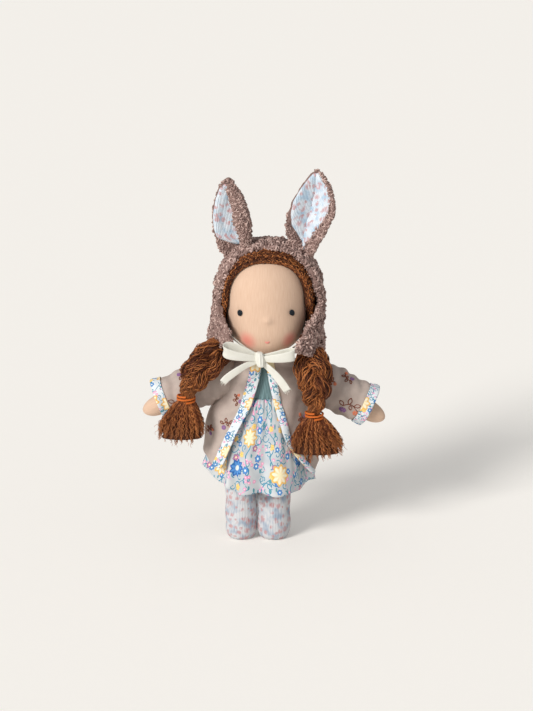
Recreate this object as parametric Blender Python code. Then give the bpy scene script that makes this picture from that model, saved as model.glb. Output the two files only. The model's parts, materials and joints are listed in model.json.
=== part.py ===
"""A small cloth doll in a rabbit bonnet, gathered skirt and open jacket. Its limbs, ears and braids turn."""

import math

import bmesh
import bpy
import numpy as np
from mathutils import Vector

# Sizes of the stuffed figure, in metres
LEG_LENGTH = 0.0620
LEG_WIDTH = 0.0184
LEG_PARTING = 0.0005
FOOT_SWELL = 0.0020
SOLE_INSET = 0.0026
TRUNK_WIDTH = 0.0335
TRUNK_DEPTH = 0.0245
TRUNK_RISE = 0.0360
SHOULDER_SPAN = 0.0450
SHOULDER_TO_NECK = 0.0125
CHIN_RISE = 0.0190
NECK_WIDTH = 0.0160
HEAD_WIDTH = 0.0448
HEAD_DEPTH = 0.0470
HEAD_HEIGHT = 0.0580
ARM_REACH = 0.0500
ARM_WIDTH = 0.0140
HAND_WIDTH = 0.0122
HIP_LEAN = -0.0052
SHOULDER_LEAN = -0.0005
LEFT_ARM_DROOP = math.radians(21.4)
RIGHT_ARM_DROOP = math.radians(24.2)

# Cloth, hair and the clearance that sewn or worn pieces keep
GAP = 0.00035
SKIN_CLOTH = 0.0008
BODICE_CLOTH = 0.0009
SKIRT_CLOTH = 0.0009
JACKET_CLOTH = 0.0012
BAND_CLOTH = 0.0007
HAIR_LAYER = 0.0026
BONNET_CLOTH = 0.0040
TAPE_CLOTH = 0.0007
TAPE_WIDTH = 0.0070

# Face
EYE_SPREAD = 0.0300
EYE_WIDTH = 0.0028
EYE_HEIGHT = 0.0032
EYE_RISE = 0.0255
NOSE_WIDTH = 0.0036
NOSE_RISE = 0.0180
MOUTH_WIDTH = 0.0026
MOUTH_HEIGHT = 0.0014
MOUTH_RISE = 0.0085
STITCH_DEPTH = 0.0007
HAIRLINE_WIDTH = 0.0437
HAIRLINE_HEIGHT = 0.0540
FACE_WINDOW_DROP = 0.0030

# Bonnet, ears and tape
BONNET_WINDOW_WIDTH = 0.0520
BONNET_WINDOW_HEIGHT = 0.0670
BONNET_EDGE_DROP = 0.0220
BONNET_FLARE = 0.0022
BONNET_EASE = 0.0016
LEFT_FLAP_DROP = 0.0036
RIGHT_FLAP_DROP = 0.0120
FLAP_ANGLE = math.radians(55)
FLAP_SPREAD = math.radians(24)
EAR_LENGTH = 0.0430
EAR_WIDTH = 0.0310
EAR_CLOTH = 0.0026
EAR_LINING_CLOTH = 0.0010
EAR_FOLD = 0.0070
EAR_FOOT_RADIUS = 0.0038
EAR_FOOT_LIFT = 0.0019
LEFT_EAR_PLACE = -0.0184
RIGHT_EAR_PLACE = 0.0214
LEFT_EAR_LEAN = math.radians(-5)
RIGHT_EAR_LEAN = math.radians(7)
LEFT_EAR_PITCH = math.radians(18)
RIGHT_EAR_PITCH = math.radians(-10)
LEFT_EAR_TURN = math.radians(-42)
RIGHT_EAR_TURN = math.radians(4)
KNOT_WIDTH = 0.0072
KNOT_HEIGHT = 0.0078
KNOT_DEPTH = 0.0052
KNOT_OFFSET = -0.0044
LEFT_LOOP_LENGTH = 0.0173
RIGHT_LOOP_LENGTH = 0.0165
LOOP_SPREAD = 0.0052
LOOP_FORWARD = 0.0028
KNOT_FORWARD = 0.0024
JAW_TAPE_RISE = 0.0054
LEFT_TAIL_REACH = 0.0200
LEFT_TAIL_DROP = 0.0100
RIGHT_TAIL_REACH = 0.0150
RIGHT_TAIL_DROP = 0.0135

# Dress and jacket
WAIST_RISE = 0.0250
BODICE_TOP_DROP = 0.0045
BODICE_TUCK = 0.0040
SKIRT_LENGTH = 0.0540
SKIRT_FLARE = 0.0130
SKIRT_FOLD = 0.0022
SKIRT_FOLDS = 9
JACKET_LENGTH = 0.0680
JACKET_SIDE_LIFT = 0.0115
JACKET_BACK_LIFT = 0.0030
JACKET_EASE = 0.0040
JACKET_FOLD = 0.0009
JACKET_FOLDS = 7
JACKET_NECK_OPENING = 0.0080
JACKET_HEM_OPENING = 0.0500
FRONT_BAND_WIDTH = 0.0060
SLEEVE_WIDTH = 0.0250
SLEEVE_HEAD_RADIUS = 0.0096
SLEEVE_LENGTH = 0.0415
CUFF_WIDTH = 0.0060

# Braids
BRAID_ROOT_RADIUS = 0.0048
LEFT_BRAID_WIDTH = 0.0250
RIGHT_BRAID_WIDTH = 0.0205
BRAID_DEPTH = 0.0130
BRAID_NECK_RADIUS = 0.0040
LEFT_BRAID_LENGTH = 0.0255
RIGHT_BRAID_LENGTH = 0.0270
LEFT_BRAID_SWING = -0.0200
RIGHT_BRAID_SWING = 0.0015
LEFT_TASSEL_LENGTH = 0.0300
RIGHT_TASSEL_LENGTH = 0.0290
LEFT_TASSEL_WIDTH = 0.0260
RIGHT_TASSEL_WIDTH = 0.0295
TASSEL_DEPTH = 0.0125
LEFT_TASSEL_SWING = -0.0035
RIGHT_TASSEL_SWING = 0.0025
TIE_THREAD = 0.0012
TIE_PITCH = 0.0018
TIE_TURNS = 2
NECK_THREAD = 0.0008
NECK_PITCH = 0.0014
NECK_TURNS = 2

# Overrun that a cutter has past what it cuts
OVERRUN = 0.0300

HEAD_FULLNESS = 2.4
TAIL_START_SHARE = 0.30
TRUNK_TUCK_SHARE = 0.4
TAIL_GATHER_SHARE = 0.5
JAW_TAPE_SHARE = 0.8
TAIL_SEAT_SHARE = 0.03
FOLD_BACK_SHARE = 0.35
TRUNK_SHARES = (
    (0.0, 0.80), (0.10, 0.96), (0.30, 1.00), (0.55, 0.98), (0.80, 1.00), (0.92, 0.84), (1.0, 0.55)
)
LEG_SHARES = ((0.0, 1.0), (0.12, 1.0), (0.30, 0.98), (0.52, 0.97), (0.75, 1.0), (1.0, 1.0))
ARM_SHARES = ((0.0, 1.0), (0.25, 1.0), (0.50, 0.94), (0.74, 0.86))
HAND_SHARES = ((0.80, 0.90), (0.88, 1.0), (0.94, 0.90), (0.98, 0.60))
FOOT_SHARES = ((0.0, 1.0), (0.16, 0.52), (0.45, 0.16))
EAR_SHARES = (
    (0.0, 0.12), (0.12, 0.15), (0.24, 0.48), (0.38, 0.84),
    (0.58, 1.0), (0.78, 0.86), (0.92, 0.52), (0.985, 0.20),
)
EAR_TIP_SHARE = 0.985
LINING_ENDS_SHARES = (0.13, 0.93)
LINING_WIDTH_SHARE = 0.80
BRAID_SHARES = (
    (0.0, 0.50), (0.16, 0.90), (0.34, 1.0), (0.60, 0.94), (0.82, 0.70), (0.94, 0.42), (1.0, 0.33)
)
TASSEL_SHARES = (
    (0.0, 0.26), (0.12, 0.46), (0.30, 0.74), (0.55, 0.94), (0.80, 1.0), (0.94, 0.92), (1.0, 0.70)
)
JACKET_ROW_SHARES = (0, 0.05, 0.12, 0.21, 0.34, 0.50, 0.66, 0.83, 1.0)
SKIRT_ROW_SHARES = (0, 0.07, 0.2, 0.4, 0.6, 0.8, 1)
BAND_ENDS_SHARES = (0.03, 0.995)

# Facets
HEAD_SIDES = 24
BODY_SIDES = 24
LIMB_SIDES = 18
SLEEVE_SIDES = 20
HAIR_SIDES = 14
TASSEL_SIDES = 18
EAR_COLUMNS = 9
SKIRT_SIDES = 45
JACKET_COLUMNS = 38
THREAD_SIDES_STEP = 1
TURN_POINTS = 24

# Heights and places that follow
HIP_HEIGHT = LEG_LENGTH
SHOULDER_HEIGHT = HIP_HEIGHT + TRUNK_RISE
NECK_HEIGHT = SHOULDER_HEIGHT + SHOULDER_TO_NECK
CHIN_HEIGHT = SHOULDER_HEIGHT + CHIN_RISE
HEAD_CENTRE = CHIN_HEIGHT + HEAD_HEIGHT / 2
WAIST_HEIGHT = HIP_HEIGHT + WAIST_RISE
SKIRT_HEM_HEIGHT = WAIST_HEIGHT - SKIRT_LENGTH
JACKET_NECK_HEIGHT = NECK_HEIGHT - GAP
LEG_RADIUS = LEG_WIDTH / 2
SLEEVE_RADIUS = SLEEVE_WIDTH / 2
CUFF_RADIUS = SLEEVE_RADIUS + GAP + 2 * BAND_CLOTH
LEFT, RIGHT = -1, 1
TURN = 2 * math.pi


def clear_scene():
    for obj in list(bpy.data.objects):
        bpy.data.objects.remove(obj, do_unlink=True)


def cloth_material(name, colour, roughness):
    material = bpy.data.materials.new(name)
    material.use_nodes = True
    shader = material.node_tree.nodes["Principled BSDF"]
    shader.inputs["Base Color"].default_value = (*colour, 1)
    shader.inputs["Roughness"].default_value = roughness
    shader.inputs["Metallic"].default_value = 0
    return material


def materials():
    return {
        "skin": cloth_material("skin_jersey", (0.80, 0.60, 0.44), 0.85),
        "wool": cloth_material("wool_stuffing", (0.80, 0.76, 0.66), 0.95),
        "thread_dark": cloth_material("eye_thread", (0.02, 0.03, 0.04), 0.5),
        "thread_pink": cloth_material("mouth_thread", (0.75, 0.30, 0.26), 0.6),
        "thread_white": cloth_material("neck_thread", (0.85, 0.82, 0.75), 0.7),
        "hair": cloth_material("mohair", (0.17, 0.055, 0.02), 0.6),
        "band": cloth_material("hair_band", (0.60, 0.14, 0.02), 0.6),
        "boucle": cloth_material("boucle", (0.30, 0.22, 0.19), 0.95),
        "knit": cloth_material("floral_knit", (0.55, 0.62, 0.70), 0.9),
        "tape": cloth_material("cotton_tape", (0.85, 0.83, 0.76), 0.9),
        "bodice": cloth_material("bodice_jersey", (0.21, 0.30, 0.29), 0.9),
        "print": cloth_material("floral_cotton", (0.85, 0.86, 0.86), 0.85),
        "jacket": cloth_material("jacket_cotton", (0.40, 0.33, 0.29), 0.8),
    }


def empty_at(name, place, parent=None):
    empty = bpy.data.objects.new(name, None)
    bpy.context.scene.collection.objects.link(empty)
    empty.location = place
    empty.parent = parent
    return empty


def mesh_object(name, points, faces, material, pivot):
    """A closed mesh whose points are given in the doll's frame and kept relative to its pivot."""
    mesh = bpy.data.meshes.new(name)
    origin = np.array(pivot.location) if pivot.parent else np.zeros(3)
    mesh.from_pydata([tuple(point - origin) for point in points], [], faces)
    shape = bmesh.new()
    shape.from_mesh(mesh)
    bmesh.ops.recalc_face_normals(shape, faces=shape.faces)
    shape.to_mesh(mesh)
    shape.free()
    mesh.shade_smooth()
    obj = bpy.data.objects.new(name, mesh)
    bpy.context.scene.collection.objects.link(obj)
    obj.parent = pivot
    if material:
        mesh.materials.append(material)
    return obj


def bridge(first, second, wrap=True):
    """Quads between two rows of point numbers. A row of one point makes a fan."""
    faces = []
    columns = max(len(first), len(second))
    for column in range(columns if wrap else columns - 1):
        following = (column + 1) % columns
        if len(first) == 1:
            faces.append((first[0], second[following], second[column]))
        elif len(second) == 1:
            faces.append((first[column], first[following], second[0]))
        else:
            faces.append((first[column], first[following], second[following], second[column]))
    return faces


def numbered(rows):
    """Point numbers for rows of points that follow one another."""
    numbers = []
    start = 0
    for row in rows:
        numbers.append(list(range(start, start + len(row))))
        start += len(row)
    return numbers


def loft(name, rings, material, pivot):
    """A solid through closed rings. A ring of one point is a round end. Any other end is flat."""
    numbers = numbered(rings)
    faces = []
    for first, second in zip(numbers, numbers[1:]):
        faces += bridge(first, second)
    for end in (numbers[0], numbers[-1]):
        if len(end) > 1:
            faces.append(tuple(end))
    return mesh_object(name, np.concatenate(rings), faces, material, pivot)


def bell(name, outer, inner, material, pivot):
    """A hollow solid between two lists of rings that start at a pole, open at the other end."""
    rows = list(outer) + list(inner)[::-1]
    numbers = numbered(rows)
    faces = []
    for first, second in zip(numbers, numbers[1:]):
        faces += bridge(first, second)
    return mesh_object(name, np.concatenate(rows), faces, material, pivot)


def grid_normals(grid, wrap):
    """Unit normals of a grid of points, by differences along its rows and columns."""
    across = np.empty_like(grid)
    if wrap:
        across[:] = np.roll(grid, -1, axis=1) - np.roll(grid, 1, axis=1)
    else:
        across[:, 1:-1] = grid[:, 2:] - grid[:, :-2]
        across[:, 0] = grid[:, 1] - grid[:, 0]
        across[:, -1] = grid[:, -1] - grid[:, -2]
    down = np.empty_like(grid)
    down[1:-1] = grid[2:] - grid[:-2]
    down[0] = grid[1] - grid[0]
    down[-1] = grid[-1] - grid[-2]
    normals = np.cross(across, down)
    return normals / np.linalg.norm(normals, axis=2, keepdims=True)


def sheet(name, grid, near, far, material, pivot, wrap=False):
    """A cloth: the grid's surface between two distances along its normals."""
    grid = np.asarray(grid)
    normals = grid_normals(grid, wrap)
    rows, columns = grid.shape[:2]
    layers = [(grid + normals * distance).reshape(-1, 3) for distance in (far, near)]
    points = np.concatenate(layers)
    top = np.arange(rows * columns).reshape(rows, columns)
    under = top + rows * columns
    faces = []
    for row in range(rows - 1):
        faces += bridge(list(top[row]), list(top[row + 1]), wrap)
        faces += bridge(list(under[row + 1]), list(under[row]), wrap)
    faces += bridge(list(under[0]), list(top[0]), wrap)
    faces += bridge(list(top[-1]), list(under[-1]), wrap)
    if not wrap:
        faces += bridge(list(top[:, 0]), list(under[:, 0]), False)
        faces += bridge(list(under[:, -1]), list(top[:, -1]), False)
    return mesh_object(name, points, faces, material, pivot)


def cut(obj, cutter, operation="DIFFERENCE"):
    cutter.hide_render = True
    cutter.display_type = "WIRE"
    modifier = obj.modifiers.new(cutter.name, "BOOLEAN")
    modifier.operation = operation
    modifier.object = cutter


def shared(table, place):
    """The value that a table of shares gives at a place, eased between its rows."""
    places, values = zip(*table)
    return float(np.interp(place, places, values))


def ring(centre, half_x, half_y, height, count):
    """A level ellipse that starts at the front and runs to the viewer's right."""
    turn = np.arange(count) / count * TURN
    return np.stack(
        [centre[0] + half_x * np.sin(turn), centre[1] - half_y * np.cos(turn), np.full(count, height)],
        axis=1,
    )


def ball(name, centre, radii, count, material, pivot, axes=None):
    """An ellipsoid whose third axis runs through its round ends."""
    axes = np.eye(3) if axes is None else np.array(axes)
    rows = max(count // 2, 4)
    rings = []
    for row in range(rows + 1):
        tilt = math.pi * row / rows
        turn = np.zeros(1) if row in (0, rows) else np.arange(count) / count * TURN
        local = np.stack(
            [
                radii[0] * math.sin(tilt) * np.sin(turn),
                -radii[1] * math.sin(tilt) * np.cos(turn),
                np.full(len(turn), -radii[2] * math.cos(tilt)),
            ],
            axis=1,
        )
        rings.append(np.array(centre) + local @ axes)
    return loft(name, rings, material, pivot)


def lean_at(height):
    """How far the figure's middle line stands to the side at a height."""
    share = (height - HIP_HEIGHT) / TRUNK_RISE
    return HIP_LEAN + (SHOULDER_LEAN - HIP_LEAN) * min(max(share, 0), 1)


def shoulder(side):
    return np.array((SHOULDER_LEAN + side * SHOULDER_SPAN / 2, 0, SHOULDER_HEIGHT))


def hip(side):
    return np.array((HIP_LEAN + side * (LEG_RADIUS + LEG_PARTING / 2), 0, HIP_HEIGHT))


def head_share(height_share):
    return (1 - abs(height_share) ** HEAD_FULLNESS) ** (1 / HEAD_FULLNESS)


def head_front(across, rise, proud=0):
    """A point of the face at a place across and a rise above the chin, with the way out of the face there."""
    up = (rise - HEAD_HEIGHT / 2) / (HEAD_HEIGHT / 2)

    def at(x, u):
        share = head_share(u)
        inside = max(1 - (x / (HEAD_WIDTH / 2 * share)) ** 2, 0)
        forward = HEAD_DEPTH / 2 * share * math.sqrt(inside)
        return np.array((x, -forward, HEAD_CENTRE + u * HEAD_HEIGHT / 2))

    step_share = 0.01
    point = at(across, up)
    side = at(across + HEAD_WIDTH * step_share, up) - point
    above = at(across, up + step_share) - point
    out = np.cross(side, above)
    out /= np.linalg.norm(out)
    return point + out * proud, out


def neck_meets_head():
    """The height share at which the head is as narrow as the neck."""
    return -((1 - (NECK_WIDTH / HEAD_WIDTH) ** HEAD_FULLNESS) ** (1 / HEAD_FULLNESS))


def head_rings(inset, count, rows, neck_bottom):
    """Rings from the crown down over the chin and the neck, drawn in by an inset."""
    crown = np.array([[0, 0, HEAD_CENTRE + HEAD_HEIGHT / 2 - inset]])
    rings = [crown]
    last = math.acos(neck_meets_head())
    for row in range(1, rows + 1):
        up = math.cos(last * row / (rows + 1))
        share = head_share(up)
        half_height = HEAD_HEIGHT / 2 - inset
        rings.append(
            ring(
                (0, 0),
                HEAD_WIDTH / 2 * share - inset,
                HEAD_DEPTH / 2 * share - inset,
                HEAD_CENTRE + up * half_height,
                count,
            )
        )
    neck_top = HEAD_CENTRE + neck_meets_head() * HEAD_HEIGHT / 2
    neck_half = NECK_WIDTH / 2 - inset
    for height in (neck_top, neck_bottom):
        rings.append(ring((0, 0), neck_half, neck_half, height, count))
    return rings


def make_head(looks, root):
    bottom = NECK_HEIGHT + GAP
    outer = head_rings(0, HEAD_SIDES, 10, bottom)
    inner = head_rings(SKIN_CLOTH, HEAD_SIDES, 10, bottom)
    bell("head_skin", outer, inner, looks["skin"], root)
    core = head_rings(SKIN_CLOTH + GAP, HEAD_SIDES - 4, 9, bottom)
    loft("head_core", core, looks["wool"], root)


def helix(name, centre, inner_radius, thread, pitch, turns, material, pivot):
    """One thread wound round a stem, as an unbroken tube."""
    curve = bpy.data.curves.new(name, "CURVE")
    curve.dimensions = "3D"
    curve.bevel_depth = thread / 2
    curve.bevel_resolution = THREAD_SIDES_STEP
    curve.use_fill_caps = True
    count = turns * TURN_POINTS + 1
    spline = curve.splines.new("POLY")
    spline.points.add(count - 1)
    origin = np.array(pivot.location) if pivot.parent else np.zeros(3)
    radius = inner_radius + thread / 2
    points = []
    for step in range(count):
        angle = step / TURN_POINTS * TURN
        height = (step / TURN_POINTS - turns / 2) * pitch
        place = np.array(centre) - origin + (radius * math.sin(angle), -radius * math.cos(angle), height)
        spline.points[step].co = (*place, 1)
        points.append(place)
    obj = bpy.data.objects.new(name, curve)
    bpy.context.scene.collection.objects.link(obj)
    obj.parent = pivot
    curve.materials.append(material)
    report_thread_gap(name, points, thread)
    return obj


def report_thread_gap(name, points, thread):
    """Measures and prints the least gap of a winding to itself."""
    places = np.array(points)
    apart = np.linalg.norm(places[:, None] - places[None], axis=2)
    order = np.abs(np.arange(len(places))[:, None] - np.arange(len(places))[None])
    gap = apart[order > TURN_POINTS / 2].min() - thread
    print(f"{name}: least gap between turns {gap * 1000:.2f} mm")


def make_neck_thread(looks, root):
    top = HEAD_CENTRE + neck_meets_head() * HEAD_HEIGHT / 2
    middle = (top + NECK_HEIGHT) / 2
    helix(
        "neck_thread",
        (0, 0, middle),
        NECK_WIDTH / 2 + GAP,
        NECK_THREAD,
        NECK_PITCH,
        NECK_TURNS,
        looks["thread_white"],
        root,
    )


def face_bead(name, across, rise, half_width, half_height, half_depth, material, root):
    """A flat bead of thread that lies on the face."""
    place, out = head_front(across, rise, half_depth + GAP)
    side = np.cross(out, (0, 0, 1))
    side /= np.linalg.norm(side)
    axes = [side, out, np.cross(side, out)]
    return ball(name, place, (half_width, half_depth, half_height), 10, material, root, axes)


def make_face(looks, root):
    for name, side in (("eye_left", LEFT), ("eye_right", RIGHT)):
        face_bead(
            name,
            side * EYE_SPREAD / 2,
            EYE_RISE,
            EYE_WIDTH / 2,
            EYE_HEIGHT / 2,
            STITCH_DEPTH / 2,
            looks["thread_dark"],
            root,
        )
    face_bead(
        "nose", 0, NOSE_RISE, NOSE_WIDTH / 2, NOSE_WIDTH / 2, STITCH_DEPTH, looks["skin"], root
    )
    face_bead(
        "mouth",
        0,
        MOUTH_RISE,
        MOUTH_WIDTH / 2,
        MOUTH_HEIGHT / 2,
        STITCH_DEPTH / 2,
        looks["thread_pink"],
        root,
    )


def hood_rings(offset, count, dome_rows, drop_rows, edge, flare, ease):
    """Rings of a hood: a dome down to the head's middle, then straight sides down to an edge."""
    half_x, half_y, half_z = (size / 2 + offset for size in (HEAD_WIDTH, HEAD_DEPTH, HEAD_HEIGHT))
    rings = [np.array([[0, 0, HEAD_CENTRE + half_z]])]
    for row in range(1, dome_rows + 1):
        tilt = math.pi / 2 * row / dome_rows
        share = math.sin(tilt) ** (2 / HEAD_FULLNESS)
        rings.append(
            ring(
                (0, 0),
                half_x * share + ease * math.sin(tilt) ** 2,
                half_y * share,
                HEAD_CENTRE + half_z * math.cos(tilt) ** (2 / HEAD_FULLNESS),
                count,
            )
        )
    turn = np.arange(count) / count * TURN
    for row in range(1, drop_rows + 1):
        share = row / drop_rows
        level = ring((0, 0), half_x + ease + flare * share, half_y + flare * share, HEAD_CENTRE, count)
        level[:, 2] -= share * np.array([HEAD_CENTRE - edge(angle) for angle in turn])
        rings.append(level)
    return rings


def bonnet_edge(angle):
    """Height of the bonnet's lower edge: level at the back, with a flap down each side of the face."""
    height = HEAD_CENTRE - BONNET_EDGE_DROP
    for side, drop in ((LEFT, LEFT_FLAP_DROP), (RIGHT, RIGHT_FLAP_DROP)):
        away = (angle - side * FLAP_ANGLE + math.pi) % TURN - math.pi
        height -= drop * math.exp(-((away / FLAP_SPREAD) ** 2))
    return height


def wig_edge(_):
    """The hair shell ends level, just inside the bonnet's lower edge."""
    return HEAD_CENTRE - BONNET_EDGE_DROP + GAP


def face_window(name, width, height, drop, depth, root):
    """The cutter that opens a hood in front of the face."""
    middle = HEAD_CENTRE - drop
    turn = np.arange(28) / 28 * TURN
    outline = np.stack([width / 2 * np.sin(turn), np.zeros(28), middle + height / 2 * np.cos(turn)], axis=1)
    front = outline + (0, -HEAD_DEPTH / 2 - OVERRUN, 0)
    back = outline + (0, depth, 0)
    return loft(name, [front, back], None, root)


def make_wig(looks, root):
    inner = hood_rings(GAP, HEAD_SIDES, 6, 2, wig_edge, 0, 0)
    outer = hood_rings(GAP + HAIR_LAYER, HEAD_SIDES, 6, 2, wig_edge, 0, 0)
    wig = bell("wig", outer, inner, looks["hair"], root)
    window = face_window("wig_window", HAIRLINE_WIDTH, HAIRLINE_HEIGHT, FACE_WINDOW_DROP, 0, root)
    cut(wig, window)


def bonnet_top(across):
    """The point on the bonnet's outer dome above a place across."""
    offset = 2 * GAP + HAIR_LAYER + BONNET_CLOTH
    half_x = HEAD_WIDTH / 2 + offset
    half_z = HEAD_HEIGHT / 2 + offset
    up = (1 - (abs(across) / half_x) ** HEAD_FULLNESS) ** (1 / HEAD_FULLNESS)
    return HEAD_CENTRE + half_z * up


def ear_foot(side):
    across = LEFT_EAR_PLACE if side == LEFT else RIGHT_EAR_PLACE
    return np.array((across, 0, bonnet_top(across) + EAR_FOOT_LIFT))


def make_bonnet(looks, root):
    start = 2 * GAP + HAIR_LAYER
    inner = hood_rings(start, 30, 7, 3, bonnet_edge, BONNET_FLARE, BONNET_EASE)
    outer = hood_rings(start + BONNET_CLOTH, 30, 7, 3, bonnet_edge, BONNET_FLARE, BONNET_EASE)
    bonnet = bell("bonnet", outer, inner, looks["boucle"], root)
    cut(
        bonnet,
        face_window(
            "bonnet_window", BONNET_WINDOW_WIDTH, BONNET_WINDOW_HEIGHT, FACE_WINDOW_DROP, 0, root
        ),
    )
    for name, side in (("left_ear_socket", LEFT), ("right_ear_socket", RIGHT)):
        radius = EAR_FOOT_RADIUS + GAP
        cut(bonnet, ball(name, ear_foot(side), (radius, radius, radius), 12, None, root))


def ear_grid(side, ends, width_share, rows):
    """Points of an ear's leaf, folded along its middle, between two shares of its length."""
    lean = LEFT_EAR_LEAN if side == LEFT else RIGHT_EAR_LEAN
    pitch = LEFT_EAR_PITCH if side == LEFT else RIGHT_EAR_PITCH
    turn = LEFT_EAR_TURN if side == LEFT else RIGHT_EAR_TURN
    up = np.array((math.sin(lean), -math.sin(pitch), math.cos(lean)))
    up /= np.linalg.norm(up)
    front = np.array((math.sin(turn), -math.cos(turn), 0))
    across = np.cross(up, front)
    across /= np.linalg.norm(across)
    front = np.cross(across, up)
    foot = ear_foot(side)
    grid = np.empty((rows, EAR_COLUMNS, 3))
    for row, place in enumerate(np.linspace(*ends, rows)):
        half = EAR_WIDTH / 2 * shared(EAR_SHARES, place) * width_share
        fold = EAR_FOLD * (FOLD_BACK_SHARE + (1 - FOLD_BACK_SHARE) * (1 - place)) * half / (EAR_WIDTH / 2)
        for column, share in enumerate(np.linspace(-1, 1, EAR_COLUMNS)):
            grid[row, column] = (
                foot + up * EAR_LENGTH * place + across * half * share + front * fold * abs(share) ** 1.5
            )
    return grid


def make_ear(side, looks, pivot):
    name = "left" if side == LEFT else "right"
    grid = ear_grid(side, (0, EAR_TIP_SHARE), 1, 10)
    leaf = sheet(f"ear_{name}", grid, -EAR_CLOTH, 0, looks["boucle"], pivot)
    radius = EAR_FOOT_RADIUS
    foot = ball(f"ear_foot_{name}", ear_foot(side), (radius, radius, radius), 12, None, pivot)
    cut(leaf, foot, "UNION")
    grid = ear_grid(side, LINING_ENDS_SHARES, LINING_WIDTH_SHARE, 9)
    sheet(f"ear_lining_{name}", grid, GAP, GAP + EAR_LINING_CLOTH, looks["knit"], pivot)


def knot_place():
    """The knot hangs in front of the neck, clear of the chin."""
    forward = -(HEAD_DEPTH / 2 - KNOT_DEPTH / 2 + KNOT_FORWARD)
    return np.array((KNOT_OFFSET, forward, CHIN_HEIGHT - KNOT_HEIGHT / 2 + GAP))


def flap_foot(side):
    """The lowest front point of a flap, at the middle of its cloth."""
    angle = side * FLAP_ANGLE
    out = 2 * GAP + HAIR_LAYER + BONNET_CLOTH / 2 + BONNET_FLARE
    half_x = HEAD_WIDTH / 2 + out + BONNET_EASE
    half_y = HEAD_DEPTH / 2 + out
    return np.array((half_x * math.sin(angle), -half_y * math.cos(angle), bonnet_edge(angle)))


def tape(name, path, across, looks, root, width=TAPE_WIDTH, columns=3):
    """A run of flat tape along a path, whose width lies along one direction for each point."""
    path, across = np.array(path), np.array(across, dtype=float)
    across /= np.linalg.norm(across, axis=1, keepdims=True)
    shares = np.linspace(-0.5, 0.5, columns)
    widths = np.broadcast_to(width, len(path))
    grid = path[:, None] + across[:, None] * (shares[None, :, None] * widths[:, None, None])
    return sheet(name, grid, -TAPE_CLOTH / 2, TAPE_CLOTH / 2, looks["tape"], root)


def make_bow(looks, root):
    knot = knot_place()
    ball(
        "bow_knot",
        knot,
        (KNOT_WIDTH / 2, KNOT_DEPTH / 2, KNOT_HEIGHT / 2),
        14,
        looks["tape"],
        root,
    )
    loops = (("left", LEFT, LEFT_LOOP_LENGTH), ("right", RIGHT, RIGHT_LOOP_LENGTH))
    for name, side, length in loops:
        start = KNOT_WIDTH / 2 + GAP + TAPE_CLOTH / 2
        path = []
        for step in range(15):
            turn = math.pi * (step / 14 * 2 - 1)
            reach = (1 + math.cos(turn)) / 2
            bulge = math.sin(turn) * (1 - (1 - reach) ** 3) + math.copysign(0.10, turn) * (1 - reach)
            path.append(
                knot
                + (
                    side * (start + length * reach),
                    LOOP_SPREAD / 2 * bulge - LOOP_FORWARD * reach,
                    TAPE_WIDTH * (0.16 + 0.10 * reach),
                )
            )
        tape(f"bow_loop_{name}", path, [(0, 0, 1)] * len(path), looks, root)
    tails = (
        ("left", LEFT, LEFT_TAIL_REACH - TAPE_WIDTH / 2, LEFT_TAIL_DROP),
        ("right", RIGHT, RIGHT_TAIL_REACH, RIGHT_TAIL_DROP),
    )
    for name, side, reach, drop in tails:
        path, widths = [], []
        for step in range(8):
            share = step / 7
            path.append(
                knot
                + (
                    side * (KNOT_WIDTH * TAIL_START_SHARE + reach * share),
                    -KNOT_DEPTH / 4 * share,
                    -KNOT_HEIGHT / 2 - GAP - TAPE_WIDTH * TAIL_SEAT_SHARE - drop * share,
                )
            )
            widths.append(TAPE_WIDTH * min(TAIL_GATHER_SHARE + share * 2, 1))
        tape(f"bow_tail_{name}", path, [(drop, 0, side * reach)] * len(path), looks, root, widths)


def make_flap_tapes(looks, root):
    """The run of tape from each flap, along the jaw, to the knot."""
    knot = knot_place()
    for name, side in (("left", LEFT), ("right", RIGHT)):
        foot = flap_foot(side)
        inside = 1 - (BONNET_CLOTH / 2 + 2 * GAP + TAPE_CLOTH) / np.linalg.norm(foot[:2])
        height = max(foot[2], CHIN_HEIGHT) + JAW_TAPE_RISE - TAPE_WIDTH * JAW_TAPE_SHARE / 2
        start = np.array((foot[0] * inside, foot[1] * inside, height))
        end = knot + (side * KNOT_WIDTH / 4, KNOT_DEPTH / 2 + TAPE_CLOTH, 0)
        middle = (start + end) / 2 + (0, LOOP_SPREAD / 8, 0)
        path = []
        for step in range(9):
            share = step / 8
            path.append(start * (1 - share) ** 2 + middle * 2 * share * (1 - share) + end * share**2)
        tape(f"bonnet_tape_{name}", path, [(0, 0, 1)] * len(path), looks, root, TAPE_WIDTH * JAW_TAPE_SHARE)


def trunk_level(height):
    """Half width and half depth of the trunk at a height."""
    share = (height - HIP_HEIGHT) / (NECK_HEIGHT - HIP_HEIGHT)
    swell = shared(TRUNK_SHARES, min(max(share, 0), 1))
    return TRUNK_WIDTH / 2 * swell, TRUNK_DEPTH / 2 * swell


def trunk_heights():
    """The heights of the trunk's rings, which the bodice follows."""
    return np.linspace(HIP_HEIGHT - LEG_RADIUS * TRUNK_TUCK_SHARE, NECK_HEIGHT, 11)


def make_trunk(looks, root):
    rings = []
    for height in trunk_heights():
        half_x, half_y = trunk_level(height)
        rings.append(ring((lean_at(height), 0), half_x, half_y, height, BODY_SIDES))
    trunk = loft("trunk", rings, looks["skin"], root)
    cut(trunk, leg_sweep(root))
    for name, side in (("left_arm_socket", LEFT), ("right_arm_socket", RIGHT)):
        radius = SLEEVE_HEAD_RADIUS + GAP
        cut(trunk, ball(name, shoulder(side), (radius, radius, radius), 16, None, root))


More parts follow.
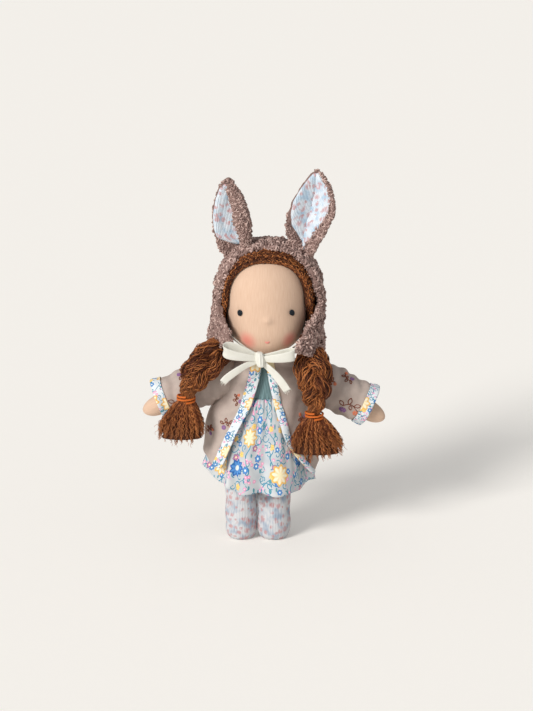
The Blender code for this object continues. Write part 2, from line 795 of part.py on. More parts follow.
def leg_sweep(root):
    """The room that the legs need to fold forward: round at the hips, open to the front and below."""
    radius = LEG_RADIUS + GAP
    front = -TRUNK_DEPTH - OVERRUN
    outline = [(front, HIP_HEIGHT + radius), (front, -OVERRUN), (radius, -OVERRUN)]
    for step in range(9):
        angle = math.pi / 2 * step / 8
        outline.append((radius * math.cos(angle), HIP_HEIGHT + radius * math.sin(angle)))
    half = LEG_WIDTH + TRUNK_WIDTH
    ends = []
    for x in (HIP_LEAN - half, HIP_LEAN + half):
        ends.append(np.array([(x, y, z) for y, z in outline]))
    return loft("leg_sweep", ends, None, root)


def make_leg(side, looks, pivot):
    name = "left" if side == LEFT else "right"
    centre = hip(side)
    rings = []
    for rise, inset in FOOT_SHARES:
        radius = LEG_RADIUS - SOLE_INSET * inset
        height = LEG_RADIUS * rise
        rings.append(ring((centre[0], -FOOT_SWELL / 2), radius, radius + FOOT_SWELL / 2, height, LIMB_SIDES))
    for share, swell in LEG_SHARES[1:]:
        radius = LEG_RADIUS * swell
        toe = FOOT_SWELL / 2 * max(0, 1 - share / 0.5)
        rings.append(ring((centre[0], -toe), radius, radius + toe, HIP_HEIGHT * share, LIMB_SIDES))
    for step in range(1, 5):
        tilt = math.pi / 2 * step / 5
        radius = LEG_RADIUS * math.cos(tilt)
        height = HIP_HEIGHT + LEG_RADIUS * math.sin(tilt)
        rings.append(ring((centre[0], 0), radius, radius, height, LIMB_SIDES))
    rings.append(np.array([[centre[0], 0, HIP_HEIGHT + LEG_RADIUS]]))
    loft(f"leg_{name}", rings, looks["knit"], pivot)


def arm_axes(side):
    """Directions along an arm, upward across it, and forward."""
    droop = LEFT_ARM_DROOP if side == LEFT else RIGHT_ARM_DROOP
    along = np.array((side * math.cos(droop), 0, -math.sin(droop)))
    forward = np.array((0, -1, 0))
    return along, np.cross(forward, along) * side, forward


def arm_ring(side, reach, radius, count=LIMB_SIDES):
    along, up, forward = arm_axes(side)
    if radius == 0:
        return (shoulder(side) + along * reach)[None]
    turn = np.arange(count) / count * TURN
    circle = np.outer(np.cos(turn), up) + np.outer(np.sin(turn), forward)
    return shoulder(side) + along * reach + circle * radius


def make_arm(side, looks, pivot):
    name = "left" if side == LEFT else "right"
    half = ARM_WIDTH / 2
    rings = [arm_ring(side, -SLEEVE_HEAD_RADIUS, 0)]
    widest = math.asin(half / SLEEVE_HEAD_RADIUS)
    for step in range(1, 5):
        tilt = widest * step / 4
        reach = -SLEEVE_HEAD_RADIUS * math.cos(tilt)
        rings.append(arm_ring(side, reach, SLEEVE_HEAD_RADIUS * math.sin(tilt)))
    for share, swell in ARM_SHARES:
        rings.append(arm_ring(side, ARM_REACH * share, half * swell))
    for share, swell in HAND_SHARES:
        rings.append(arm_ring(side, ARM_REACH * share, HAND_WIDTH / 2 * swell))
    rings.append(arm_ring(side, ARM_REACH, 0))
    loft(f"arm_{name}", rings, looks["skin"], pivot)


def sleeve_radius(reach):
    """Outer radius of a sleeve: round over the shoulder, then a little wider towards the cuff."""
    if reach < 0:
        return math.sqrt(SLEEVE_HEAD_RADIUS**2 - reach**2)
    return SLEEVE_HEAD_RADIUS + (SLEEVE_RADIUS - SLEEVE_HEAD_RADIUS) * (reach / SLEEVE_LENGTH) ** 1.3


def make_sleeve(side, looks, pivot):
    name = "left" if side == LEFT else "right"
    opening = ARM_WIDTH / 2 + GAP + JACKET_CLOTH
    first = -math.sqrt(SLEEVE_HEAD_RADIUS**2 - opening**2)
    outer, inner = [], []
    for reach in [first, first / 2] + list(np.linspace(0, SLEEVE_LENGTH, 5)):
        outer.append(arm_ring(side, reach, sleeve_radius(reach), SLEEVE_SIDES))
        inner.append(arm_ring(side, reach, sleeve_radius(reach) - JACKET_CLOTH, SLEEVE_SIDES))
    tube(f"sleeve_{name}", outer, inner, looks["jacket"], pivot)
    start = SLEEVE_LENGTH - CUFF_WIDTH
    outer, inner = [], []
    for share in (0, 0.5, 1):
        reach = start + CUFF_WIDTH * share
        radius = sleeve_radius(reach) + GAP
        outer.append(arm_ring(side, reach, radius + BAND_CLOTH * (1 + share / 2), SLEEVE_SIDES))
        inner.append(arm_ring(side, reach, radius, SLEEVE_SIDES))
    tube(f"cuff_{name}", outer, inner, looks["print"], pivot)


def tube(name, outer, inner, material, pivot):
    """A hollow solid open at both ends."""
    rows = list(outer) + list(inner)[::-1]
    numbers = numbered(rows)
    faces = []
    for first, second in zip(numbers, numbers[1:] + numbers[:1]):
        faces += bridge(first, second)
    return mesh_object(name, np.concatenate(rows), faces, material, pivot)


def armhole(name, side, root):
    """The room that a sleeve takes through the jacket: round inside, then as wide as the sleeve."""
    radius = SLEEVE_HEAD_RADIUS + GAP
    rings = [arm_ring(side, -radius, 0)]
    for step in range(1, 5):
        tilt = math.pi / 2 * step / 4
        rings.append(arm_ring(side, -radius * math.cos(tilt), radius * math.sin(tilt)))
    for share in (0.25, 0.5, 1):
        reach = SLEEVE_LENGTH * share
        rings.append(arm_ring(side, reach, sleeve_radius(reach) + GAP))
    return loft(name, rings, None, root)


def bodice_out():
    return GAP + BODICE_CLOTH


def make_bodice(looks, root):
    rows = []
    bottom, top = WAIST_HEIGHT - BODICE_TUCK, NECK_HEIGHT - BODICE_TOP_DROP
    between = [height for height in trunk_heights() if bottom + BODICE_CLOTH < height < top - BODICE_CLOTH]
    for height in [bottom] + between + [top]:
        half_x, half_y = trunk_level(height)
        out = GAP + BODICE_CLOTH / 2
        rows.append(ring((lean_at(height), 0), half_x + out, half_y + out, height, BODY_SIDES))
    bodice = sheet("dress_bodice", rows, -BODICE_CLOTH / 2, BODICE_CLOTH / 2, looks["bodice"], root, True)
    for name, side in (("left_bodice_armhole", LEFT), ("right_bodice_armhole", RIGHT)):
        radius = SLEEVE_HEAD_RADIUS + GAP
        cut(bodice, ball(name, shoulder(side), (radius, radius, radius), 16, None, root))


def skirt_level(height):
    """Half width and half depth of the skirt's cloth at a height, and the reach of its folds there."""
    share = min(max((WAIST_HEIGHT - height) / SKIRT_LENGTH, 0), 1)
    half_x, half_y = trunk_level(WAIST_HEIGHT)
    waist_out = bodice_out() + GAP + SKIRT_CLOTH
    hem_x = max(TRUNK_WIDTH / 2, LEG_WIDTH) + SKIRT_FLARE
    hem_y = max(TRUNK_DEPTH / 2, LEG_RADIUS) + SKIRT_FLARE * 0.72
    grow = share**0.85
    return (
        (half_x + waist_out) * (1 - grow) + hem_x * grow,
        (half_y + waist_out) * (1 - grow) + hem_y * grow,
        SKIRT_FOLD * share**2,
    )


def skirt_lean(height):
    """The skirt hangs from the waist and settles to the legs' side."""
    share = min(max((WAIST_HEIGHT - height) / SKIRT_LENGTH, 0), 1)
    return lean_at(WAIST_HEIGHT) * (1 - share) + HIP_LEAN * share


def make_skirt(looks, root):
    rows = []
    for share in SKIRT_ROW_SHARES:
        height = WAIST_HEIGHT - SKIRT_LENGTH * share
        half_x, half_y, fold = skirt_level(height)
        row = []
        for column in range(SKIRT_SIDES):
            turn = column / SKIRT_SIDES * TURN
            wave = fold * math.cos(SKIRT_FOLDS * turn)
            row.append(
                (
                    skirt_lean(height) + (half_x + wave) * math.sin(turn),
                    -(half_y + wave) * math.cos(turn),
                    height + fold * 0.5 * math.cos(turn * 2),
                )
            )
        rows.append(row)
    sheet("dress_skirt", rows, -SKIRT_CLOTH / 2, SKIRT_CLOTH / 2, looks["print"], root, True)


def jacket_hem(turn):
    """Height of the jacket's hem: lowest at the front, a little higher behind, highest at the sides."""
    front = JACKET_NECK_HEIGHT - JACKET_LENGTH
    side_part = math.sin(turn) ** 2
    back_part = max(-math.cos(turn), 0) ** 2
    corner = max(math.cos(turn), 0) * 0.35
    return front + JACKET_SIDE_LIFT * side_part * (1 - corner) + JACKET_BACK_LIFT * back_part


def jacket_level(height):
    """Half width and half depth of the jacket's cloth at a height."""
    neck_x = NECK_WIDTH / 2 + bodice_out() + GAP + JACKET_CLOTH
    body_x, body_y = trunk_level(SHOULDER_HEIGHT)
    chest_x = body_x + bodice_out() + JACKET_EASE + JACKET_CLOTH
    chest_y = body_y + bodice_out() + JACKET_EASE * 0.4 + JACKET_CLOTH
    drop = JACKET_NECK_HEIGHT - height
    yoke = JACKET_NECK_HEIGHT - SHOULDER_HEIGHT
    grow = math.sin(math.pi / 2 * min(max(drop / yoke, 0), 1)) ** 0.8
    half_x = neck_x + (chest_x - neck_x) * grow
    half_y = neck_x + (chest_y - neck_x) * grow
    if height < SHOULDER_HEIGHT:
        share = min((SHOULDER_HEIGHT - height) / (SHOULDER_HEIGHT - WAIST_HEIGHT), 1)
        skirt_x, skirt_y, fold = skirt_level(height)
        out = fold + SKIRT_CLOTH / 2 + GAP + JACKET_CLOTH + JACKET_FOLD * 2
        half_x = max(half_x, (skirt_x + out) * share + half_x * (1 - share))
        half_y = max(half_y, (skirt_y + out) * share + half_y * (1 - share))
    return half_x, half_y


def jacket_lean(height):
    return skirt_lean(height) if height < WAIST_HEIGHT else lean_at(height)


def jacket_opening(share):
    """Half the width between the front edges, from the neck down to the hem."""
    return (JACKET_NECK_OPENING + (JACKET_HEM_OPENING - JACKET_NECK_OPENING) * share) / 2


def jacket_point(turn, share):
    height = JACKET_NECK_HEIGHT + (jacket_hem(turn) - JACKET_NECK_HEIGHT) * share
    half_x, half_y = jacket_level(height)
    wave = JACKET_FOLD * share**2 * math.cos(JACKET_FOLDS * turn)
    return np.array(
        (jacket_lean(height) + (half_x + wave) * math.sin(turn), -(half_y + wave) * math.cos(turn), height)
    )


def jacket_edge(share):
    """The angle from straight ahead at which the jacket's front edge lies."""
    height = JACKET_NECK_HEIGHT - JACKET_LENGTH * share
    half_x, _ = jacket_level(height)
    return math.asin(min(jacket_opening(share) / half_x, 0.9))


def make_jacket(looks, root):
    grid = []
    for share in JACKET_ROW_SHARES:
        edge = jacket_edge(share)
        turns = np.linspace(edge, TURN - edge, JACKET_COLUMNS)
        grid.append([jacket_point(turn, share) for turn in turns])
    jacket = sheet("jacket_body", grid, -JACKET_CLOTH / 2, JACKET_CLOTH / 2, looks["jacket"], root)
    for name, side in (("left_armhole", LEFT), ("right_armhole", RIGHT)):
        cut(jacket, armhole(name, side, root))
    for name, side in (("left", LEFT), ("right", RIGHT)):
        grid = []
        for share in np.linspace(*BAND_ENDS_SHARES, 15):
            edge = jacket_edge(share)
            height = JACKET_NECK_HEIGHT - JACKET_LENGTH * share
            half_x, _ = jacket_level(height)
            reach = FRONT_BAND_WIDTH / half_x
            grid.append([jacket_point(side * (edge + reach * part), share) for part in (0, 0.5, 1)])
        out = JACKET_CLOTH / 2 + GAP
        near, far = (out, out + BAND_CLOTH) if side == LEFT else (-out - BAND_CLOTH, -out)
        sheet(f"front_band_{name}", grid, near, far, looks["print"], root)


def front_of_clothes(x, height):
    """How far forward the jacket and the sleeves reach at a place across and a height."""
    half_x, half_y = jacket_level(max(height, SKIRT_HEM_HEIGHT))
    half_x += JACKET_CLOTH / 2 + JACKET_FOLD + GAP + BAND_CLOTH
    half_y += JACKET_CLOTH / 2 + JACKET_FOLD + GAP + BAND_CLOTH
    across = abs(x - jacket_lean(height)) / half_x
    return half_y * math.sqrt(1 - across**2) if across < 1 else 0


def braid_place(side, share):
    """Middle of a braid (share 0 to 1) and of its tassel (1 to 2), before it is laid on the clothes."""
    left = side == LEFT
    length = LEFT_BRAID_LENGTH if left else RIGHT_BRAID_LENGTH
    tassel = LEFT_TASSEL_LENGTH if left else RIGHT_TASSEL_LENGTH
    swing = LEFT_BRAID_SWING if left else RIGHT_BRAID_SWING
    trail = LEFT_TASSEL_SWING if left else RIGHT_TASSEL_SWING
    root = braid_root(side)
    if share <= 1:
        return root + (swing * share**1.1, 0, -length * share)
    return root + (swing + trail * (share - 1), 0, -length - tassel * (share - 1))


def braid_root(side):
    foot = flap_foot(side)
    return foot + (0, 0, -BRAID_ROOT_RADIUS - GAP)


def hair_ring(place, half_width, half_depth, ridge, phase, count):
    """A level ring of hair laid in front of the clothes, with soft ridges round it."""
    turn = np.arange(count) / count * TURN
    half_x = half_width * (1 + ridge * np.cos(turn * 5 + phase))
    half_y = half_depth * (1 + ridge * np.cos(turn * 5 + phase))
    x = place[0] + half_x * np.sin(turn)
    y = -half_y * np.cos(turn)
    over_sleeve = place[2] < SHOULDER_HEIGHT + SLEEVE_HEAD_RADIUS
    clear = CUFF_RADIUS + GAP if over_sleeve else 0
    behind = [max(front_of_clothes(px, place[2]), clear) + py for px, py in zip(x, y)]
    middle = min(place[1], -(max(behind) + GAP))
    return np.stack([x, middle + y, np.full(count, place[2])], axis=1)


def band_half_height():
    return TIE_PITCH * TIE_TURNS / 2 + TIE_THREAD / 2 + GAP


def make_braid(side, looks, pivot):
    name = "left" if side == LEFT else "right"
    width = LEFT_BRAID_WIDTH if side == LEFT else RIGHT_BRAID_WIDTH
    root = braid_root(side)
    rings = [np.array([root + (0, 0, BRAID_ROOT_RADIUS)])]
    for tilt in (0.35, 0.72):
        half = BRAID_ROOT_RADIUS * math.sin(tilt * math.pi / 2)
        height = root[2] + BRAID_ROOT_RADIUS * math.cos(tilt * math.pi / 2)
        rings.append(ring(root[:2], half, half, height, HAIR_SIDES))
    rows = 15
    length = LEFT_BRAID_LENGTH if side == LEFT else RIGHT_BRAID_LENGTH
    body_share = 1 - (band_half_height() + TIE_THREAD) / length
    for row in range(rows):
        share = (row + 0.6) / rows * body_share
        swell = shared(BRAID_SHARES, share / body_share)
        place = braid_place(side, share)
        lump = 0.11 * math.sin(share * TURN * 2.5)
        blend_in = min(share / 0.16, 1)
        half_x = (width / 2 * swell) * blend_in + BRAID_ROOT_RADIUS * (1 - blend_in)
        half_y = (BRAID_DEPTH / 2 * swell**0.5) * blend_in + BRAID_ROOT_RADIUS * (1 - blend_in)
        turned = hair_ring(place, half_x, half_y, 0.05 * blend_in, share * 9, HAIR_SIDES)
        turned[:, 0] += np.sin(np.arange(HAIR_SIDES) / HAIR_SIDES * TURN) ** 2 * lump * half_x * blend_in
        rings.append(turned)
    middle_y = rings[-1][:, 1].mean()
    end = braid_place(side, 1)
    neck = (BRAID_NECK_RADIUS, BRAID_NECK_RADIUS)
    for rise in (band_half_height(), 0):
        rings.append(ring((end[0], middle_y), *neck, end[2] + rise, HAIR_SIDES))
    tip = rings[-1]
    loft(f"braid_{name}", rings, looks["hair"], pivot)
    middle = tip.mean(axis=0)
    helix(
        f"hair_band_{name}",
        (middle[0], middle[1], middle[2] - GAP / 2),
        BRAID_NECK_RADIUS + GAP,
        TIE_THREAD,
        TIE_PITCH,
        TIE_TURNS,
        looks["band"],
        pivot,
    )
    make_tassel(side, middle, looks, pivot)


def make_tassel(side, top, looks, pivot):
    """The brushed end of a braid: tied at its top, then spreading like a brush."""
    name = "left" if side == LEFT else "right"
    width = LEFT_TASSEL_WIDTH if side == LEFT else RIGHT_TASSEL_WIDTH
    length = LEFT_TASSEL_LENGTH if side == LEFT else RIGHT_TASSEL_LENGTH
    collar = band_half_height()
    rings = []
    for drop in (GAP, collar):
        rings.append(ring(top[:2], BRAID_NECK_RADIUS, BRAID_NECK_RADIUS, top[2] - drop, TASSEL_SIDES))
    for share, swell in TASSEL_SHARES[1:]:
        drop = collar + (length - collar) * share
        place = braid_place(side, 1 + drop / length)
        place[1] = top[1]
        half_y = TASSEL_DEPTH / 2 * swell**0.5
        rings.append(hair_ring(place, width / 2 * swell, half_y, 0.06 * share, share, TASSEL_SIDES))
    loft(f"tassel_{name}", rings, looks["hair"], pivot)


def centre_on_floor(root):
    """Moves the doll so that its box stands on the origin, centred."""
    bpy.context.view_layer.update()
    graph = bpy.context.evaluated_depsgraph_get()
    low, high = np.full(3, np.inf), np.full(3, -np.inf)
    for obj in bpy.context.scene.objects:
        if obj.type == "EMPTY" or obj.hide_render:
            continue
        evaluated = obj.evaluated_get(graph)
        corners = np.array([evaluated.matrix_world @ vertex.co for vertex in evaluated.to_mesh().vertices])
        evaluated.to_mesh_clear()
        low, high = np.minimum(low, corners.min(axis=0)), np.maximum(high, corners.max(axis=0))
    root.location -= Vector(((low[0] + high[0]) / 2, (low[1] + high[1]) / 2, low[2]))
    bpy.context.view_layer.update()


def print_pivots(pivots):
    for pivot in pivots:
        print(f"{pivot.name}: {tuple(round(value, 5) for value in pivot.matrix_world.translation)} m")


def main():
    clear_scene()
    looks = materials()
    root = empty_at("doll", (0, 0, 0))
    pivots = []
    make_head(looks, root)
    make_neck_thread(looks, root)
    make_face(looks, root)
    make_wig(looks, root)
    make_bonnet(looks, root)
    make_flap_tapes(looks, root)
    make_bow(looks, root)
    make_trunk(looks, root)
    make_bodice(looks, root)
    make_skirt(looks, root)
    make_jacket(looks, root)
    for name, side in (("left", LEFT), ("right", RIGHT)):
        arm_pivot = empty_at(f"arm_{name}_pivot", shoulder(side), root)
        make_arm(side, looks, arm_pivot)
        make_sleeve(side, looks, arm_pivot)
        leg_pivot = empty_at(f"leg_{name}_pivot", hip(side), root)
        make_leg(side, looks, leg_pivot)
        ear_pivot = empty_at(f"ear_{name}_pivot", ear_foot(side), root)
        make_ear(side, looks, ear_pivot)
        braid_pivot = empty_at(f"braid_{name}_pivot", braid_root(side), root)
        make_braid(side, looks, braid_pivot)
        pivots += [arm_pivot, leg_pivot, ear_pivot, braid_pivot]
    centre_on_floor(root)
    print_pivots([root] + pivots)


main()
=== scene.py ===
# %% [markdown]
# # A small cloth doll in a rabbit bonnet
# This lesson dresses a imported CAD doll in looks: skin, curly hair, looped pile, printed cotton and knit.
# The CAD part keeps the sizes and the joints. Each soft solid of it is hidden here, and a modelled piece
# takes its place and moves with the same body. All sizes below are millimetres in the doll's own frame.

import json
import math

import bpy
import numpy as np
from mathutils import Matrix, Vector, noise


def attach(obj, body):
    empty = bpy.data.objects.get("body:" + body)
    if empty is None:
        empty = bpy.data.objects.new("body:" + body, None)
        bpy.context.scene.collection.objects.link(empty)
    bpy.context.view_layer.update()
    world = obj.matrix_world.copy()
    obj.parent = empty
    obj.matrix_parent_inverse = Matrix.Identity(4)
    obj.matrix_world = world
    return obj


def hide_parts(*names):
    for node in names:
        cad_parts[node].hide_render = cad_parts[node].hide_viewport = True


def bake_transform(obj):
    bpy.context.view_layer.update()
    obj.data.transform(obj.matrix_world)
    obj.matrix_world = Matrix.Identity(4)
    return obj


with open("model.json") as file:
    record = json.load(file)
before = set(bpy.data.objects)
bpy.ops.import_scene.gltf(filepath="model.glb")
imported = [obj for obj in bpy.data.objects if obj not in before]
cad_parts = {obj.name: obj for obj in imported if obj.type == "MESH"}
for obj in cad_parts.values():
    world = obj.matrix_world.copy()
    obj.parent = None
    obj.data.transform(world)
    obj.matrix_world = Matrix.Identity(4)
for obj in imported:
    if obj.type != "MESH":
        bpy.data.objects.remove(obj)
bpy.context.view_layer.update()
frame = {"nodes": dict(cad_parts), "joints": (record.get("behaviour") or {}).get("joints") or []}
joints = {joint["name"]: np.array(joint["pos_m"]) * 1000 for joint in frame["joints"]}
SHOULDER_MIDDLE = (-0.5, 0, 98)
home = (joints["shoulder_left"] + joints["shoulder_right"]) / 2 - SHOULDER_MIDDLE
print("frame loaded, the doll's middle line stands at", home.round(2), "mm")

# %% [markdown]
# ## Camera, light and floor
# The photograph looks down on the doll by about 16 degrees, from far enough that near and far parts keep
# about one scale. A wide low sun at the front left makes the soft shadow that runs back to the right, and
# the pale world fills the rest. A sun lights a large floor evenly, which a lamp close by does not.

# %% Colours as they are seen
def ink(red, green, blue):
    """A colour given in the 0 to 255 steps of a screen, as the linear colour that Blender wants."""
    steps = np.array((red, green, blue)) / 255
    linear = np.where(steps <= 0.04045, steps / 12.92, ((steps + 0.055) / 1.055) ** 2.4)
    return (*linear.tolist(), 1.0)


PAPER = ink(243, 239, 233)
print("backdrop colour", [round(value, 3) for value in PAPER[:3]])

# %% Camera
TARGET = Vector((0.0009, 0.0, 0.109))
RAISED = math.radians(16)
AWAY = 1.6
LENS = 140.9
camera = bpy.data.objects.new("camera", bpy.data.cameras.new("camera"))
bpy.context.scene.collection.objects.link(camera)
camera.location = TARGET + Vector((0, -math.cos(RAISED), math.sin(RAISED))) * AWAY
camera.rotation_euler = (math.pi / 2 - RAISED, 0, 0)
camera.data.lens = LENS
camera.data.clip_end = 50
bpy.context.scene.camera = camera
bpy.context.scene.view_settings.view_transform = "Standard"
print("camera at", [round(value, 3) for value in camera.location])


# %% Sun and world
SUN_WAY = (0.55, 0.68, -0.48)
sun = bpy.data.lights.new("window_light", "SUN")
sun.energy = 2.7
sun.angle = math.radians(20)
sun.color = (1.0, 0.985, 0.96)
window = bpy.data.objects.new("window_light", sun)
bpy.context.scene.collection.objects.link(window)
window.rotation_euler = Vector(SUN_WAY).to_track_quat("-Z", "Y").to_euler()
world = bpy.data.worlds.new("studio")
bpy.context.scene.world = world
world.use_nodes = True
background = world.node_tree.nodes["Background"].inputs
background["Color"].default_value = (0.97, 0.985, 1.0, 1)
background["Strength"].default_value = 0.45
print("a wide sun and a pale world")


# %% [markdown]
# ## A small language for shaders
# A finish is a sum of masks, so it reads best as arithmetic. `Wire` wraps one output of a node and adds Math
# nodes when it is used with + - * / or compared. `Finish` holds one material and makes every other node
# through one method: first the settings of the node, then its sockets.

# %% Wire and Finish
class Wire:
    """One output of a shader node. Sums with it become Math or Vector Math nodes."""

    def __init__(self, finish, socket):
        self.finish, self.socket = finish, socket

    def join(self, operation, first, second):
        vectors = any(isinstance(value, Wire) and value.socket.type == "VECTOR" for value in (first, second))
        kind = "ShaderNodeVectorMath" if vectors else "ShaderNodeMath"
        return self.finish.node(kind, {"operation": operation}, {0: first, 1: second})

    def __add__(self, other):
        return self.join("ADD", self, other)

    def __sub__(self, other):
        return self.join("SUBTRACT", self, other)

    def __rsub__(self, other):
        return self.join("SUBTRACT", other, self)

    def __mul__(self, other):
        return self.join("MULTIPLY", self, other)

    def __truediv__(self, other):
        return self.join("DIVIDE", self, other)

    def __lt__(self, other):
        return self.join("LESS_THAN", self, other)

    def __gt__(self, other):
        return self.join("GREATER_THAN", self, other)

    __radd__ = __add__
    __rmul__ = __mul__


class Finish:
    """One material, built from nodes."""

    def __init__(self, name, **constants):
        self.material = bpy.data.materials.new(name)
        self.material.use_nodes = True
        self.tree = self.material.node_tree
        self.shader = self.tree.nodes["Principled BSDF"]
        for socket, value in constants.items():
            self.feed(self.shader.inputs[socket.replace("_", " ")], value)

    def feed(self, socket, value):
        if isinstance(value, Wire):
            self.tree.links.new(value.socket, socket)
        elif socket.type == "VECTOR" and isinstance(value, (int, float)):
            socket.default_value = (value, value, value)
        else:
            socket.default_value = value

    def node(self, kind, settings, inputs, out=0):
        node = self.tree.nodes.new(kind)
        for name, value in settings.items():
            if name == "stops":
                fill_ramp(node.color_ramp, value)
            else:
                setattr(node, name, value)
        for name, value in inputs.items():
            self.feed(node.inputs[name], value)
        return Wire(self, node.outputs[out])

    def paint(self, colour, bump=None, depth=0.1):
        """Links the colour and, with a height, a bump of that depth in millimetres."""
        self.feed(self.shader.inputs["Base Color"], colour)
        if bump is not None:
            sockets = {"Strength": 1.0, "Distance": depth / 1000, "Height": bump}
            self.feed(self.shader.inputs["Normal"], self.node("ShaderNodeBump", {}, sockets))
        return self.material


def fill_ramp(ramp, stops):
    while len(ramp.elements) < len(stops):
        ramp.elements.new(0.5)
    for element, (place, colour) in zip(ramp.elements, stops):
        element.position = place
        element.color = colour


print("shader language ready")


# %% Words that the finishes share
def cloth_place(finish, kind="UV", size=1.0):
    """Where a point lies on the cloth (UV) or in the doll's frame (Object), in millimetres times size."""
    place = finish.node("ShaderNodeTexCoord", {}, {}, out=kind)
    return place * (1000 * size)


def axis(finish, vector, letter):
    return finish.node("ShaderNodeSeparateXYZ", {}, {0: vector}, out=letter)


def stretched(finish, vector, across, along, deep=1.0):
    """The same place with its axes scaled, which draws a pattern out."""
    return vector * finish.node("ShaderNodeCombineXYZ", {}, {0: across, 1: along, 2: deep})


def clouds(finish, vector, size, detail=2.0):
    """Soft noise with lumps of about that size in millimetres, from 0 to 1."""
    return finish.node("ShaderNodeTexNoise", {}, {"Vector": vector, "Scale": 1 / size, "Detail": detail})


def ease(finish, value, low, high):
    """0 below low, 1 above high and smooth between them."""
    sockets = {"Value": value, "From Min": low, "From Max": high}
    return finish.node("ShaderNodeMapRange", {"interpolation_type": "SMOOTHSTEP"}, sockets)


def blend_ink(finish, share, first, second):
    return finish.node("ShaderNodeMix", {"data_type": "RGBA"}, {0: share, 6: first, 7: second}, out=2)


def sine(finish, value):
    """A sine wave from 0 to 1."""
    return finish.node("ShaderNodeMath", {"operation": "SINE"}, {0: value}) * 0.5 + 0.5


def ribs(finish, cloth, apart):
    """Ribs that run along the cloth, that many millimetres apart."""
    return sine(finish, axis(finish, cloth, "X") * (2 * math.pi / apart))


def weave(finish, cloth, pitch):
    """Threads that cross. Pitch is in radians for a millimetre."""
    return sine(finish, axis(finish, cloth, "X") * pitch) + sine(finish, axis(finish, cloth, "Y") * pitch)


def far_out(finish, place):
    return finish.node("ShaderNodeVectorMath", {"operation": "LENGTH"}, {0: place}, out="Value")


def angle_round(finish, place):
    sockets = {0: axis(finish, place, "Y"), 1: axis(finish, place, "X")}
    return finish.node("ShaderNodeMath", {"operation": "ARCTAN2"}, sockets)


print("shared words ready")

# %% [markdown]
# The floor is one plane. Its material asks Light Path whether the camera looks straight at it. If so a part
# of its tone is a constant glow, so that it renders as pale as the backdrop, and the rest is ordinary light,
# which keeps the shadow soft.

# %% Floor
GLOW_SHARE = 0.08
FLOOR_HALF = 9
floor_finish = Finish("floor_paper", Roughness=0.95)
floor_finish.paint(ink(252, 248, 242))
glow = floor_finish.node("ShaderNodeEmission", {}, {"Color": PAPER, "Strength": 2.0})
seen = floor_finish.node("ShaderNodeLightPath", {}, {}, out="Is Camera Ray")
lit = Wire(floor_finish, floor_finish.shader.outputs[0])
shown = floor_finish.node("ShaderNodeMixShader", {}, {0: seen * GLOW_SHARE, 1: lit, 2: glow})
floor_finish.feed(floor_finish.tree.nodes["Material Output"].inputs["Surface"], shown)
sheet_of_floor = bpy.data.meshes.new("floor")
floor_corners = [(x * FLOOR_HALF, y * FLOOR_HALF, 0) for x, y in ((-1, -1), (1, -1), (1, 1), (-1, 1))]
sheet_of_floor.from_pydata(floor_corners, [], [(0, 1, 2, 3)])
floor = bpy.data.objects.new("floor", sheet_of_floor)
floor.data.materials.append(floor_finish.material)
bpy.context.scene.collection.objects.link(floor)
print("floor laid")


# %% [markdown]
# ## Making meshes
# Every soft piece is a grid of points: rows that run one way over the cloth and columns that run the other.
# A grid becomes quads, and each point keeps its place on the cloth as UV in metres, so that prints and ribs
# have their real size. Hair, stitches and loops of pile are many thin tubes in one mesh.

# %% Grids to meshes
def quads(rows, columns, wrap=False):
    """Faces of a grid of points. With wrap the last column meets the first."""
    number = np.arange(rows * columns).reshape(rows, columns)
    if wrap:
        number = np.concatenate([number, number[:, :1]], axis=1)
    corners = [number[:-1, :-1], number[1:, :-1], number[1:, 1:], number[:-1, 1:]]
    return np.stack(corners, axis=-1).reshape(-1, 4).tolist()


def piece(name, points, faces, finish, body=None, uv=None):
    """One piece of the doll, its points in millimetres, riding on a CAD body."""
    mesh = bpy.data.meshes.new(name)
    mesh.from_pydata(((np.asarray(points).reshape(-1, 3) + home) / 1000).tolist(), [], faces)
    mesh.validate()
    mesh.shade_smooth()
    mesh.materials.append(finish)
    if uv is not None:
        layer = mesh.uv_layers.new(name="cloth")
        corner = np.empty(len(mesh.loops), np.int32)
        mesh.loops.foreach_get("vertex_index", corner)
        layer.data.foreach_set("uv", (np.asarray(uv).reshape(-1, 2)[corner] / 1000).ravel())
    obj = bpy.data.objects.new(name, mesh)
    bpy.context.scene.collection.objects.link(obj)
    if body:
        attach(obj, body)
    return obj


def grid_piece(name, grid, finish, body=None, uv=None, wrap=False, ends=False, lap=0.0):
    """A piece from a grid. With ends both end rings are closed. Lap is what U gains in a full turn."""
    rows, columns = grid.shape[:2]
    faces = quads(rows, columns, wrap)
    if ends:
        faces.append(list(range(columns)))
        faces.append(list(range((rows - 1) * columns, rows * columns))[::-1])
    made = piece(name, grid, faces, finish, body, uv)
    for face in made.data.polygons if lap else ():
        if face.loop_total == 4 and {0, columns - 1} <= {corner % columns for corner in face.vertices}:
            for loop, corner in zip(face.loop_indices, face.vertices):
                if corner % columns == 0:
                    made.data.uv_layers.active.data[loop].uv[0] += lap / 1000
    return made


def recolour(node, finish):
    """Another material on a CAD node that keeps its mesh."""
    materials = frame["nodes"][node].data.materials
    materials.clear()
    materials.append(finish)


def points_at(*parts):
    """Points, or places on the cloth, from their coordinates as numbers or grids."""
    return np.stack(np.broadcast_arrays(*parts), axis=-1)


def full_turn(count):
    """Angles all the way round, in that many steps."""
    return np.arange(count) / count * 2 * math.pi


def running(lengths):
    """Sums of the lengths so far, from 0."""
    return np.concatenate([[0], np.cumsum(lengths)])


def run_along(path):
    """The length of the way from a path's start to each of its points."""
    return running(np.linalg.norm(np.diff(path, axis=0), axis=1))


def unit(vectors):
    vectors = np.asarray(vectors, float)
    return vectors / np.maximum(np.linalg.norm(vectors, axis=-1, keepdims=True), 1e-9)


